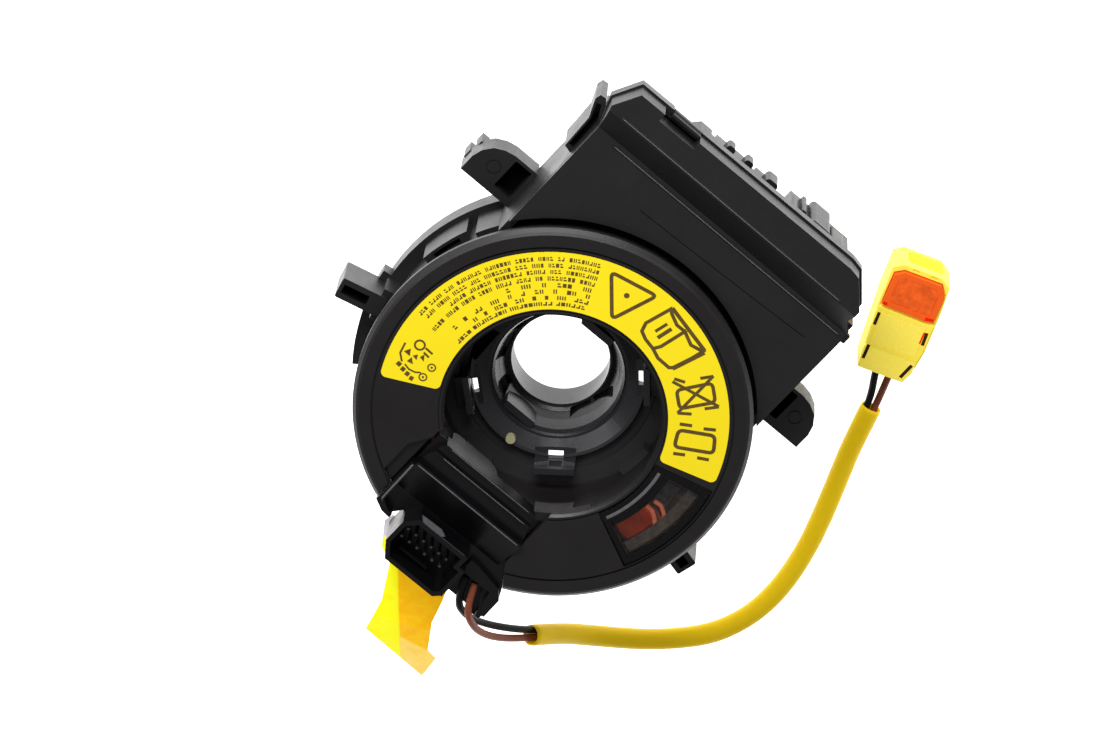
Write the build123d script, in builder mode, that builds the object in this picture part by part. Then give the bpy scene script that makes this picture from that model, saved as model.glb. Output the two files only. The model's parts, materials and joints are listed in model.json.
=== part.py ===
from build123d import *
import math
import os

os.makedirs("parts", exist_ok=True)

# ---------------------------------------------------------------------------
# Steering clock spring. Millimetres. Z is the steering axis, the steering
# wheel lies towards +Z, the column bracket towards -Z. The origin is on the
# steering axis in the plane of the rear locating collar. +Y points to the
# sensor box, -Y to the wheel-side terminal block.
# ---------------------------------------------------------------------------

# driving dimensions
face_z = 47.5            # top face of the rotating cover
rim_r = 50.0             # rotating cover, outer radius
cover_t = 2.6            # rotating cover, thickness
mouth_r = 27.1           # opening in the rotating cover
sleeve_ro, sleeve_ri = 31.0, 29.4      # inner winding wall, carried by the rotor
label_ro, label_ri = 44.05, 28.85
wall_ro, wall_ri = 46.6, 45.0          # outer winding wall, carried by the stator
flange_r = 50.0
skirt_bottom = 17.5
deck_z = 28.0            # underside of the winding chamber floor
deck_t = 1.6
wall_top = 42.0
panel_z = 42.0           # top of the sensor box panel
bar_z = 47.5             # top of the raised bar on the sensor box
seam_z = 41.5
tray_z = 23.5            # underside of the sensor box
box_wall = 1.8
arc_r = 50.8             # cut-out of the panel round the rotor
bore_r = 12.6            # steering shaft bore
bore_bottom, bore_top = 0.6, 10.7
collar_ro, collar_ri = 41.0, 38.4
roller_track_r = 38.0
roller_r, roller_bore_r, roller_pin_r = 5.2, 1.46, 1.40
roller_angles = (-15.0, 75.0, 165.0, 255.0)
ribbon_z0, ribbon_z1 = 31.3, 41.6
gear_module = 0.8
drive_teeth, pinion_a_teeth, pinion_b_teeth = 78, 14, 15
gear_z0, gear_z1 = 19.9, 24.0
wire_d = 1.9
tube_od, tube_id = 5.6, 4.8


def at_angle(radius, angle):
    a = math.radians(angle)
    return (radius * math.cos(a), radius * math.sin(a))


def sector(radius, a0, a1, steps=24):
    """Points of a pie slice that reaches past a radius."""
    pts = [(0.0, 0.0)]
    for i in range(steps + 1):
        pts.append(at_angle(radius, a0 + (a1 - a0) * i / steps))
    return pts


def gear_points(teeth, module, backlash, spin=0.0, centre=(0.0, 0.0)):
    """Outline of an involute spur gear with short straight flank runs."""
    rp = teeth * module / 2
    rb = rp * math.cos(math.radians(20))
    ra = rp + 0.95 * module
    rf = rp - 1.25 * module
    half = math.pi / (2 * teeth) - backlash / (2 * rp)
    inv_p = math.tan(math.radians(20)) - math.radians(20)
    flank = []
    r0 = max(rf, rb)
    for i in range(4):
        r = r0 + (ra - r0) * i / 3
        al = math.acos(min(1.0, rb / r))
        flank.append((r, half + inv_p - (math.tan(al) - al)))
    pts = []
    for t in range(teeth):
        c = math.radians(spin) + 2 * math.pi * t / teeth
        pts.append((rf, c - flank[0][1]))
        if rb > rf + 0.01:
            pts.append((r0, c - flank[0][1]))
            run = flank[1:]
        else:
            run = flank[1:]
        for r, w in run:
            pts.append((r, c - w))
        for r, w in reversed(run):
            pts.append((r, c + w))
        if rb > rf + 0.01:
            pts.append((r0, c + flank[0][1]))
        pts.append((rf, c + flank[0][1]))
    return [(centre[0] + r * math.cos(a), centre[1] + r * math.sin(a)) for r, a in pts]


# ---------------------------------------------------------------------------
# Stator
# ---------------------------------------------------------------------------

# outline of the sensor box seen from above
box_plan = [(-40.8, 30.0), (-40.8, 64.0), (-43.3, 71.8), (-39.6, 78.7),
            (28.4, 79.2), (31.4, 78.6), (37.5, 72.1), (37.6, 67.4),
            (40.8, 64.0), (40.8, 30.0)]
box_lip = [(-41.0, 64.2), (-43.9, 71.8), (-40.0, 79.3), (28.6, 79.8),
           (31.9, 79.1), (38.1, 72.3), (38.2, 67.2), (41.0, 64.2)]
box_inner = [(-38.9, 30.0), (-38.9, 63.0), (-41.2, 71.6), (-38.4, 76.9),
             (27.8, 77.4), (30.4, 77.0), (35.6, 71.4), (35.8, 66.6),
             (38.9, 63.0), (38.9, 30.0)]

# The fixed case: winding wall, chamber floor, mounting ears, side posts and
# the sensor tray with its two harness sockets are one moulding.
with BuildPart() as stator_case:
    # round case
    with BuildSketch(Plane.XZ):
        with BuildLine():
            Polyline([(31.35, deck_z), (wall_ri, deck_z), (wall_ri, 22.0), (48.4, 22.0),
                      (48.4, skirt_bottom), (flange_r, skirt_bottom), (flange_r, 23.5),
                      (wall_ro, 23.5), (wall_ro, wall_top), (wall_ri, wall_top),
                      (wall_ri, deck_z + deck_t), (31.35, deck_z + deck_t)], close=True)
        make_face()
    revolve(axis=Axis.Z)
    # wider pads of the flange under the two side posts
    for a0, a1 in ((-172, -142), (-38, -8)):
        with BuildSketch(Plane.XY.offset(18.9)):
            Circle(52.2)
            Circle(49.0, mode=Mode.SUBTRACT)
            with BuildLine():
                Polyline(sector(70, a0, a1), close=True)
            make_face(mode=Mode.INTERSECT)
        extrude(amount=4.6)
    # deep tray of the sensor box
    with BuildSketch(Plane.XY.offset(tray_z)):
        with BuildLine():
            Polyline([(-40.8, 26.0), (-40.8, 66.0), (40.8, 66.0), (40.8, 26.0)], close=True)
        make_face()
        Circle(wall_ro - 0.4, mode=Mode.SUBTRACT)
    extrude(amount=40.0 - tray_z)
    # shallow tray under the raised bar, with the lip that the lid sits on
    with BuildSketch(Plane.XY.offset(37.0)):
        with BuildLine():
            Polyline([(-40.8, 64.0), (-43.3, 71.8), (-39.6, 78.7), (28.4, 79.2),
                      (31.4, 78.6), (37.5, 72.1), (37.6, 67.4), (40.8, 64.0)], close=True)
        make_face()
    extrude(amount=1.6)
    with BuildSketch(Plane.XY.offset(38.5)):
        with BuildLine():
            Polyline(box_lip, close=True)
        make_face()
    extrude(amount=seam_z - 38.5)
    # harness sockets, open towards -Z
    with BuildSketch(Plane.XY.offset(tray_z)):
        with BuildLine():
            Polyline([(9.4, 65.5), (9.4, 77.5), (28.4, 77.5), (30.0, 75.9), (30.0, 65.5)], close=True)
        make_face()
    extrude(amount=37.5 - tray_z)
    with BuildSketch(Plane.XY.offset(26.5)):
        with BuildLine():
            Polyline([(-21.3, 65.5), (-21.3, 75.6), (-19.8, 77.2), (4.4, 77.2), (4.4, 65.5)], close=True)
        make_face()
    extrude(amount=11.0)
    # guide ribs and latch blocks on the sockets
    for x0, w, y1, z0, z1 in ((-12.2, 2.4, 79.3, 29.4, 33.4), (-6.4, 2.4, 79.4, 29.4, 33.4),
                              (0.6, 3.6, 79.3, 28.0, 33.6), (9.4, 2.0, 78.4, 28.0, 35.0),
                              (12.4, 1.4, 78.9, 24.5, 34.0), (15.2, 6.2, 79.4, tray_z, 36.5),
                              (22.6, 4.0, 78.2, 26.0, 34.0)):
        with BuildSketch(Plane.XY.offset(z0)):
            with Locations((x0 + w / 2, (76.3 + y1) / 2)):
                RectangleRounded(w, y1 - 76.3, min(w, y1 - 76.3, 3.0) * 0.36)
        extrude(amount=z1 - z0)
    # inside of the box
    with BuildSketch(Plane.XY.offset(tray_z + box_wall)):
        with BuildLine():
            Polyline([(-38.9, 28.0), (-38.9, 63.8), (38.9, 63.8), (38.9, 28.0)], close=True)
        make_face()
        Circle(wall_ro + 1.6, mode=Mode.SUBTRACT)
    extrude(amount=30, mode=Mode.SUBTRACT)
    with BuildSketch(Plane.XY.offset(38.5)):
        with BuildLine():
            Polyline(box_inner[1:9], close=True)
        make_face()
    extrude(amount=10, mode=Mode.SUBTRACT)
    # socket cavities
    with BuildSketch(Plane.XY.offset(25.5)):
        with Locations((-8.4, 71.3)):
            RectangleRounded(22.6, 8.8, 1.0)
    extrude(amount=10.5, mode=Mode.SUBTRACT)
    with BuildSketch(Plane.XY.offset(tray_z - 1)):
        with Locations((19.6, 71.6)):
            RectangleRounded(17.4, 9.4, 1.0)
    extrude(amount=11.5, mode=Mode.SUBTRACT)
    # polarising slots in the front wall of the sockets
    for x, z0 in ((-15.5, 25.5), (-2.6, 25.5), (25.6, tray_z - 1)):
        with BuildSketch(Plane.XY.offset(z0)):
            with Locations((x, 76.6)):
                Rectangle(1.6, 3.0)
        extrude(amount=4.0, mode=Mode.SUBTRACT)
    # notch in the lip for the lid's snap tongue
    with BuildSketch(Plane.XY.offset(36.0)):
        with Locations((-25.4, 79.2)):
            Rectangle(9.0, 3.6)
    extrude(amount=10, mode=Mode.SUBTRACT)
    # passage for the sensor board under the chamber floor
    with BuildSketch(Plane.XY.offset(tray_z + box_wall)):
        with Locations((0, 43.5)):
            Rectangle(47.0, 15.0)
    extrude(amount=deck_z - tray_z - box_wall, mode=Mode.SUBTRACT)
    # mounting ears beside the box
    for s in (-1, 1):
        ear = [(s * 40.6, 27.9), (s * 56.0, 27.9), (s * 56.0, 32.4), (s * 55.2, 35.2), (s * 53.4, 37.6),
               (s * 50.8, 39.0), (s * 48.0, 39.6), (s * 40.6, 39.6)]
        with BuildSketch(Plane.XY.offset(20.5)):
            with BuildLine():
                Polyline(ear, close=True)
            make_face()
            Circle(48.0, mode=Mode.SUBTRACT)
        extrude(amount=7.0)
        # downward hooks of the ear
        with BuildSketch(Plane.XY.offset(15.5)):
            with Locations((s * 55.2, 30.0), (s * 54.6, 33.8)):
                Rectangle(2.2, 2.4)
        extrude(amount=6.0)
        with BuildSketch(Plane.XY.offset(21.6)):
            with Locations((s * 44.4, 34.4)):
                RectangleRounded(5.2, 8.6, 0.5)
        extrude(amount=9.0, mode=Mode.SUBTRACT)
        with BuildSketch(Plane.XY.offset(27.5)):
            with Locations((s * 50.2, 33.8)):
                Circle(1.9)
                Circle(1.6, mode=Mode.SUBTRACT)
        extrude(amount=-0.3, mode=Mode.SUBTRACT)
    # side posts with a slot
    for ang, r1 in ((-166.0, 60.8), (-14.0, 58.4)):
        with BuildSketch(Plane.XY.offset(22.0)):
            with Locations(Location((*at_angle((r1 + 48.6) / 2, ang), 0), (0, 0, ang))):
                RectangleRounded(r1 - 48.6, 5.6, 0.5)
        extrude(amount=11.0)
        with BuildSketch(Plane.XY.offset(21.0)):
            with Locations(Location((*at_angle((r1 + 52.2) / 2 - 0.2, ang), 0), (0, 0, ang))):
                Rectangle(r1 - 52.2 - 1.6, 2.6)
        extrude(amount=13.0, mode=Mode.SUBTRACT)
    # gusset from post to wall
    for ang in (-166.0, -14.0):
        with BuildSketch(Plane.XY.offset(23.0)):
            with Locations(Location((*at_angle(48.2, ang), 0), (0, 0, ang))):
                Rectangle(4.2, 9.0)
        extrude(amount=9.0)
    # snap block with a window on the wall, left of the box
    with BuildSketch(Plane.XY.offset(23.0)):
        Circle(48.8)
        Circle(46.0, mode=Mode.SUBTRACT)
        with BuildLine():
            Polyline(sector(70, 158.0, 173.5), close=True)
        make_face(mode=Mode.INTERSECT)
    extrude(amount=10.5)
    with BuildSketch(Plane.XY.offset(22.0)):
        Circle(48.0)
        Circle(46.7, mode=Mode.SUBTRACT)
        with BuildLine():
            Polyline(sector(70, 161.0, 170.5), close=True)
        make_face(mode=Mode.INTERSECT)
    extrude(amount=13.0, mode=Mode.SUBTRACT)
    with BuildSketch(Plane.XY.offset(23.0)):
        Circle(48.4)
        Circle(46.0, mode=Mode.SUBTRACT)
        with BuildLine():
            Polyline(sector(70, 147.5, 155.0), close=True)
        make_face(mode=Mode.INTERSECT)
    extrude(amount=13.5)
    # rail down the left side of the box
    with BuildSketch(Plane.XY.offset(26.5)):
        with BuildLine():
            Polyline([(-40.6, 52.6), (-42.9, 53.2), (-43.3, 62.6), (-45.4, 67.4), (-45.0, 69.0), (-43.4, 69.2),
                      (-42.0, 67.4), (-40.6, 64.4)], close=True)
        make_face()
    extrude(amount=11.0)
    with BuildSketch(Plane.XY.offset(29.5)):
        with BuildLine():
            Polyline([(-40.95, 54.0), (-42.5, 54.2), (-42.8, 62.6), (-44.4, 66.8), (-43.2, 67.2), (-40.95, 63.0)],
                     close=True)
        make_face()
    extrude(amount=9.0, mode=Mode.SUBTRACT)
    # bosses for the rear cover screws
    with BuildSketch(Plane.XY.offset(19.6)):
        with PolarLocations(46.4, 3, start_angle=90):
            Circle(2.6)
    extrude(amount=3.0)
    with BuildSketch(Plane.XY.offset(19.0)):
        with PolarLocations(46.4, 3, start_angle=90):
            Circle(1.25)
    extrude(amount=4.0, mode=Mode.SUBTRACT)
stator_case.part.label = "stator_case"
export_step(stator_case.part, "parts/stator_case.step")

# Lid of the sensor box: flat panel, slope and raised bar, a thin-walled cap.
with BuildPart() as box_lid:
    with BuildSketch(Plane.YZ.offset(-60)):
        with BuildLine():
            Polyline([(28, 40.3), (28, panel_z), (63.9, panel_z), (70.5, bar_z), (84, bar_z),
                      (84, seam_z + 0.1), (64.05, seam_z + 0.1), (64.05, 40.3)], close=True)
        make_face()
    extrude(amount=120)
    with BuildSketch(Plane.XY.offset(35)):
        with BuildLine():
            Polyline(box_plan, close=True)
        make_face()
        Circle(arc_r, mode=Mode.SUBTRACT)
    extrude(amount=20, mode=Mode.INTERSECT)
    # hollow under the bar
    with BuildSketch(Plane.YZ.offset(-38.4)):
        with BuildLine():
            Polyline([(66.4, 41.0), (66.4, 42.0), (71.2, bar_z - 1.8), (75.6, bar_z - 1.8), (75.6, 41.0)], close=True)
        make_face()
    extrude(amount=66.0, mode=Mode.SUBTRACT)
    # rebate on the far edge of the bar and the slot for the snap tongue
    with BuildSketch(Plane.XY.offset(bar_z)):
        with Locations((-26.5, 78.1)):
            Rectangle(11.2, 3.0)
    extrude(amount=-6.5, mode=Mode.SUBTRACT)
    # fine parting line and corner of the inspection field on the panel
    with BuildSketch(Plane.XY.offset(panel_z)):
        with BuildLine():
            Polyline([(-18.9, 54.1), (-2.6, 54.6), (17.3, 55.4), (33.4, 56.2),
                      (33.4, 56.45), (17.3, 55.65), (-2.6, 54.85), (-18.9, 54.35)], close=True)
        make_face()
    extrude(amount=-0.35, mode=Mode.SUBTRACT)
    # low bead along the foot of the slope
    with BuildSketch(Plane.YZ.offset(-35.0)):
        with BuildLine():
            Polyline([(61.9, panel_z - 0.2), (62.3, panel_z + 0.25), (62.8, panel_z + 0.25), (63.2, panel_z - 0.2)], close=True)
        make_face()
    extrude(amount=74.5)
    # bead on the upper crease of the bar
    with BuildSketch(Plane.YZ.offset(-39.6)):
        with BuildLine():
            Polyline([(70.6, bar_z - 0.2), (70.9, bar_z + 0.22), (71.3, bar_z + 0.22), (71.7, bar_z - 0.2)], close=True)
        make_face()
    extrude(amount=72.0)
    # small buttress at the right end
    with BuildSketch(Plane.XY.offset(40.3)):
        with Locations((41.2, 62.6)):
            RectangleRounded(1.4, 2.6, 0.4)
    extrude(amount=1.2)
    # snap tongue in that slot, reaching down into the case
    with BuildSketch(Plane.YZ.offset(-29.7)):
        with BuildLine():
            Polyline([(77.5, 38.9), (77.5, 43.0), (78.4, 43.6), (79.1, 43.6), (79.1, 42.4), (79.6, 41.9),
                      (79.6, 41.0), (79.1, 40.4), (79.1, 38.9)], close=True)
        make_face()
    extrude(amount=8.6)
box_lid.part.label = "box_lid"
export_step(box_lid.part, "parts/box_lid.step")

# Rear cover: closes the gear chamber and carries the collar the part stands on.
with BuildPart() as rear_cover:
    with BuildSketch(Plane.XY.offset(skirt_bottom)):
        Circle(48.2)
        Circle(26.6, mode=Mode.SUBTRACT)
        with PolarLocations(46.4, 3, start_angle=90):
            Circle(1.5, mode=Mode.SUBTRACT)
    extrude(amount=1.8)
    with BuildSketch(Plane.XY):
        Circle(collar_ro)
        Circle(collar_ri, mode=Mode.SUBTRACT)
    extrude(amount=skirt_bottom + 0.3)
    # stiffening webs outside the collar
    with BuildSketch(Plane.XY.offset(11.5)):
        with PolarLocations(43.4, 12, start_angle=15):
            Rectangle(5.6, 1.4)
    extrude(amount=6.3)
    # rim round the rotor opening
    with BuildSketch(Plane.XY.offset(14.5)):
        Circle(28.2)
        Circle(26.6, mode=Mode.SUBTRACT)
    extrude(amount=3.2)
    # windows in the collar
    with BuildSketch(Plane.XY.offset(4.5)):
        with PolarLocations(39.7, 3, start_angle=30):
            Rectangle(6.0, 22.0)
    extrude(amount=8.0, mode=Mode.SUBTRACT)
    # bearing posts of the two measuring pinions
    with BuildSketch(Plane.XY.offset(19.2)):
        with Locations(at_angle(36.8 + 0.05, 80), at_angle(37.2 + 0.05, 112)):
            Circle(1.5)
    extrude(amount=4.2)
    # locking legs that grip the column bracket
    with BuildSketch(Plane.XY.offset(2.0)):
        with PolarLocations(41.6, 3, start_angle=90):
            Rectangle(2.0, 7.0)
    extrude(amount=15.6)
rear_cover.part.label = "rear_cover"
export_step(rear_cover.part, "parts/rear_cover.step")

with BuildPart() as cover_screws:
    with BuildSketch(Plane.XY.offset(skirt_bottom - 1.7)):
        with PolarLocations(46.4, 3, start_angle=90):
            Circle(2.5)
    extrude(amount=1.65)
    with BuildSketch(Plane.XY.offset(skirt_bottom - 0.1)):
        with PolarLocations(46.4, 3, start_angle=90):
            Circle(1.2)
    extrude(amount=5.0)
    with BuildSketch(Plane.XY.offset(skirt_bottom - 1.7)):
        with PolarLocations(46.4, 3, start_angle=90):
            Rectangle(2.6, 0.7)
            Rectangle(0.7, 2.6)
    extrude(amount=1.1, mode=Mode.SUBTRACT)
cover_screws.part.label = "cover_screws"
export_step(cover_screws.part, "parts/cover_screws.step")

# Boards inside the sensor box.
with BuildPart() as sensor_board:
    with BuildSketch(Plane.XY.offset(25.6)):
        with Locations((0, 46.2)):
            Rectangle(45.0, 28.0)
        Circle(32.4, mode=Mode.SUBTRACT)
    extrude(amount=1.6)
sensor_board.part.label = "sensor_board"
export_step(sensor_board.part, "parts/sensor_board.step")

with BuildPart() as sensor_chips:
    with BuildSketch(Plane.XY.offset(27.2)):
        with Locations(at_angle(36.8 + 0.05, 80), at_angle(37.2 + 0.05, 112)):
            Rectangle(4.4, 4.8)
    extrude(amount=0.6)
sensor_chips.part.label = "sensor_chips"
export_step(sensor_chips.part, "parts/sensor_chips.step")

with BuildPart() as main_board:
    with BuildSketch(Plane.XY.offset(35.0)):
        with Locations((0, 57.6)):
            Rectangle(76.0, 12.0)
        Circle(52.0, mode=Mode.SUBTRACT)
    extrude(amount=1.6)
main_board.part.label = "main_board"
export_step(main_board.part, "parts/main_board.step")

with BuildPart() as board_chip:
    with BuildSketch(Plane.XY.offset(36.6)):
        with Locations((-22.0, 58.4)):
            Rectangle(8.0, 8.0)
        with Locations((6.0, 59.0)):
            Rectangle(11.0, 5.0)
        with Locations((24.0, 58.6)):
            Rectangle(6.0, 6.0)
    extrude(amount=1.4)
board_chip.part.label = "board_chips"
export_step(board_chip.part, "parts/board_chips.step")

# Row of link pins that joins the sensor board to the main board.
with BuildPart() as board_pins:
    with BuildSketch(Plane.XY.offset(27.2)):
        with Locations((0, 57.2)):
            with GridLocations(2.54, 1, 8, 1):
                Rectangle(0.64, 0.64)
    extrude(amount=7.8)
board_pins.part.label = "board_pins"
export_step(board_pins.part, "parts/board_pins.step")

# Blades of the two harness sockets.
with BuildPart() as harness_blades:
    with BuildSketch(Plane.XY.offset(31.4)):
        with Locations((-8.4, 71.3)):
            with GridLocations(3.2, 4.0, 6, 2):
                Rectangle(1.5, 0.64)
    extrude(amount=4.6)
    with BuildSketch(Plane.XY.offset(28.4)):
        with Locations((19.6, 71.6)):
            with GridLocations(3.6, 4.0, 4, 2):
                Rectangle(1.5, 0.64)
    extrude(amount=5.6)
harness_blades.part.label = "harness_blades"
export_step(harness_blades.part, "parts/harness_blades.step")

# ---------------------------------------------------------------------------
# Flat ribbon cable: outer turns, the U-turn round the red roller, inner turns
# ---------------------------------------------------------------------------
red_x, red_y = at_angle(roller_track_r, roller_angles[0])
with BuildPart() as ribbon_cable:
    with BuildSketch(Plane.XY.offset(ribbon_z0)):
        Circle(44.8)
        Circle(43.8, mode=Mode.SUBTRACT)
    extrude(amount=ribbon_z1 - ribbon_z0)
    with BuildSketch(Plane.XY.offset(ribbon_z0)):
        Circle(32.2)
        Circle(31.25, mode=Mode.SUBTRACT)
    extrude(amount=ribbon_z1 - ribbon_z0)
    with BuildSketch(Plane.XY.offset(ribbon_z0)):
        with Locations((red_x, red_y)):
            Circle(5.95)
            Circle(5.55, mode=Mode.SUBTRACT)
        with BuildLine():
            Polyline([at_angle(30, -15.0), at_angle(46, -15.0), at_angle(50, 5.0), at_angle(30, 5.0)], close=True)
        make_face(mode=Mode.INTERSECT)
    extrude(amount=ribbon_z1 - ribbon_z0)
ribbon_cable.part.label = "ribbon_cable"
export_step(ribbon_cable.part, "parts/ribbon_cable.step")

# ---------------------------------------------------------------------------
# Roller carrier: a ring that creeps round between the turns of the ribbon
# ---------------------------------------------------------------------------
with BuildPart() as roller_carrier:
    with BuildSketch(Plane.XY.offset(29.9)):
        Circle(43.6)
        Circle(32.4, mode=Mode.SUBTRACT)
    extrude(amount=1.0)
    # roller pins
    with BuildSketch(Plane.XY.offset(30.8)):
        with Locations(*[at_angle(roller_track_r, a) for a in roller_angles]):
            Circle(roller_pin_r)
    extrude(amount=10.2)
    # guide walls between the rollers
    for a in roller_angles:
        with BuildSketch(Plane.XY.offset(30.8)):
            Circle(42.9)
            Circle(42.0, mode=Mode.SUBTRACT)
            with BuildLine():
                Polyline(sector(70, a + 16, a + 74), close=True)
            make_face(mode=Mode.INTERSECT)
        extrude(amount=9.4)
        with BuildSketch(Plane.XY.offset(30.8)):
            Circle(34.0)
            Circle(33.1, mode=Mode.SUBTRACT)
            with BuildLine():
                Polyline(sector(70, a + 18, a + 72), close=True)
            make_face(mode=Mode.INTERSECT)
        extrude(amount=9.4)
        with BuildSketch(Plane.XY.offset(30.8)):
            for b in (a + 18.5, a + 45.0, a + 71.5):
                with Locations(Location((*at_angle(38.0, b), 0), (0, 0, b))):
                    Rectangle(8.4, 1.0)
        extrude(amount=9.4)
roller_carrier.part.label = "roller_carrier"
export_step(roller_carrier.part, "parts/roller_carrier.step")

for roller_name, a in zip(("roller_red", "roller_b", "roller_c", "roller_d"), roller_angles):
    with BuildPart() as roller:
        with BuildSketch(Plane.XY.offset(31.3)):
            with Locations(at_angle(roller_track_r, a)):
                Circle(roller_r)
                Circle(roller_bore_r, mode=Mode.SUBTRACT)
        extrude(amount=9.9)
        # shallow waist between the two running bands, hollow top
        with BuildSketch(Plane.XY.offset(33.6)):
            with Locations(at_angle(roller_track_r, a)):
                Circle(roller_r + 0.5)
                Circle(roller_r - 0.35, mode=Mode.SUBTRACT)
        extrude(amount=5.4, mode=Mode.SUBTRACT)
        with BuildSketch(Plane.XY.offset(39.6)):
            with Locations(at_angle(roller_track_r, a)):
                Circle(roller_r - 1.1)
                Circle(roller_bore_r + 0.9, mode=Mode.SUBTRACT)
        extrude(amount=2.0, mode=Mode.SUBTRACT)
    roller.part.label = roller_name
    export_step(roller.part, "parts/" + roller_name + ".step")

# ---------------------------------------------------------------------------
# Angle sensor gears
# ---------------------------------------------------------------------------
with BuildPart() as drive_gear:
    with BuildSketch(Plane.XY.offset(gear_z0)):
        with BuildLine():
            Polyline(gear_points(drive_teeth, gear_module, 0.10), close=True)
        make_face()
        Circle(25.0, mode=Mode.SUBTRACT)
    extrude(amount=gear_z1 - gear_z0)
    # thin web that closes the gap towards the hub
    with BuildSketch(Plane.XY.offset(gear_z0)):
        Circle(25.2)
        Circle(22.85, mode=Mode.SUBTRACT)
    extrude(amount=0.55)
    # lugs that plug into the foot of the winding sleeve
    for a in (-5.0, 85.0, 175.0, 265.0):
        with BuildSketch(Plane.XY.offset(gear_z1 - 0.2)):
            Circle(29.3)
            Circle(27.6, mode=Mode.SUBTRACT)
            with BuildLine():
                Polyline(sector(60, a - 9, a + 9), close=True)
            make_face(mode=Mode.INTERSECT)
        extrude(amount=5.0)
drive_gear.part.label = "drive_gear"
export_step(drive_gear.part, "parts/drive_gear.step")

for pinion_name, magnet_name, teeth, ang in (("pinion_a", "magnet_a", pinion_a_teeth, 80.0),
                                             ("pinion_b", "magnet_b", pinion_b_teeth, 112.0)):
    centre_d = (drive_teeth + teeth) * gear_module / 2 + 0.05
    cx, cy = at_angle(centre_d, ang)
    # the drive gear has a tooth centred on multiples of its pitch angle
    pitch = 360.0 / drive_teeth
    phase = ((ang / pitch) % 1.0)
    spin = ang + 180.0 + 180.0 / teeth + phase * 360.0 / teeth
    with BuildPart() as pinion:
        with BuildSketch(Plane.XY.offset(gear_z0)):
            with BuildLine():
                Polyline(gear_points(teeth, gear_module, 0.10, spin, (cx, cy)), close=True)
            make_face()
        extrude(amount=gear_z1 - gear_z0)
        with BuildSketch(Plane.XY.offset(gear_z1 - 0.1)):
            with Locations((cx, cy)):
                Circle(3.9)
        extrude(amount=1.2)
        with BuildSketch(Plane.XY.offset(gear_z1 - 0.1)):
            with Locations((cx, cy)):
                Circle(3.02)
        extrude(amount=2.0, mode=Mode.SUBTRACT)
        with BuildSketch(Plane.XY.offset(gear_z0 - 0.5)):
            with Locations((cx, cy)):
                Circle(1.56)
        extrude(amount=4.1, mode=Mode.SUBTRACT)
    pinion.part.label = pinion_name
    export_step(pinion.part, "parts/" + pinion_name + ".step")
    with BuildPart() as magnet:
        with BuildSketch(Plane.XY.offset(gear_z1 - 0.1)):
            with Locations((cx, cy)):
                Circle(3.0)
        extrude(amount=1.1)
    magnet.part.label = magnet_name
    export_step(magnet.part, "parts/" + magnet_name + ".step")

# ---------------------------------------------------------------------------
# Rotor
# ---------------------------------------------------------------------------

# right-hand edge of the terminal block, and the strip left open beside it
block_right = [(17.3, -22.0), (17.3, -32.0), (17.6, -38.4), (22.1, -45.0), (23.4, -47.6), (23.6, -54.6)]

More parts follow.
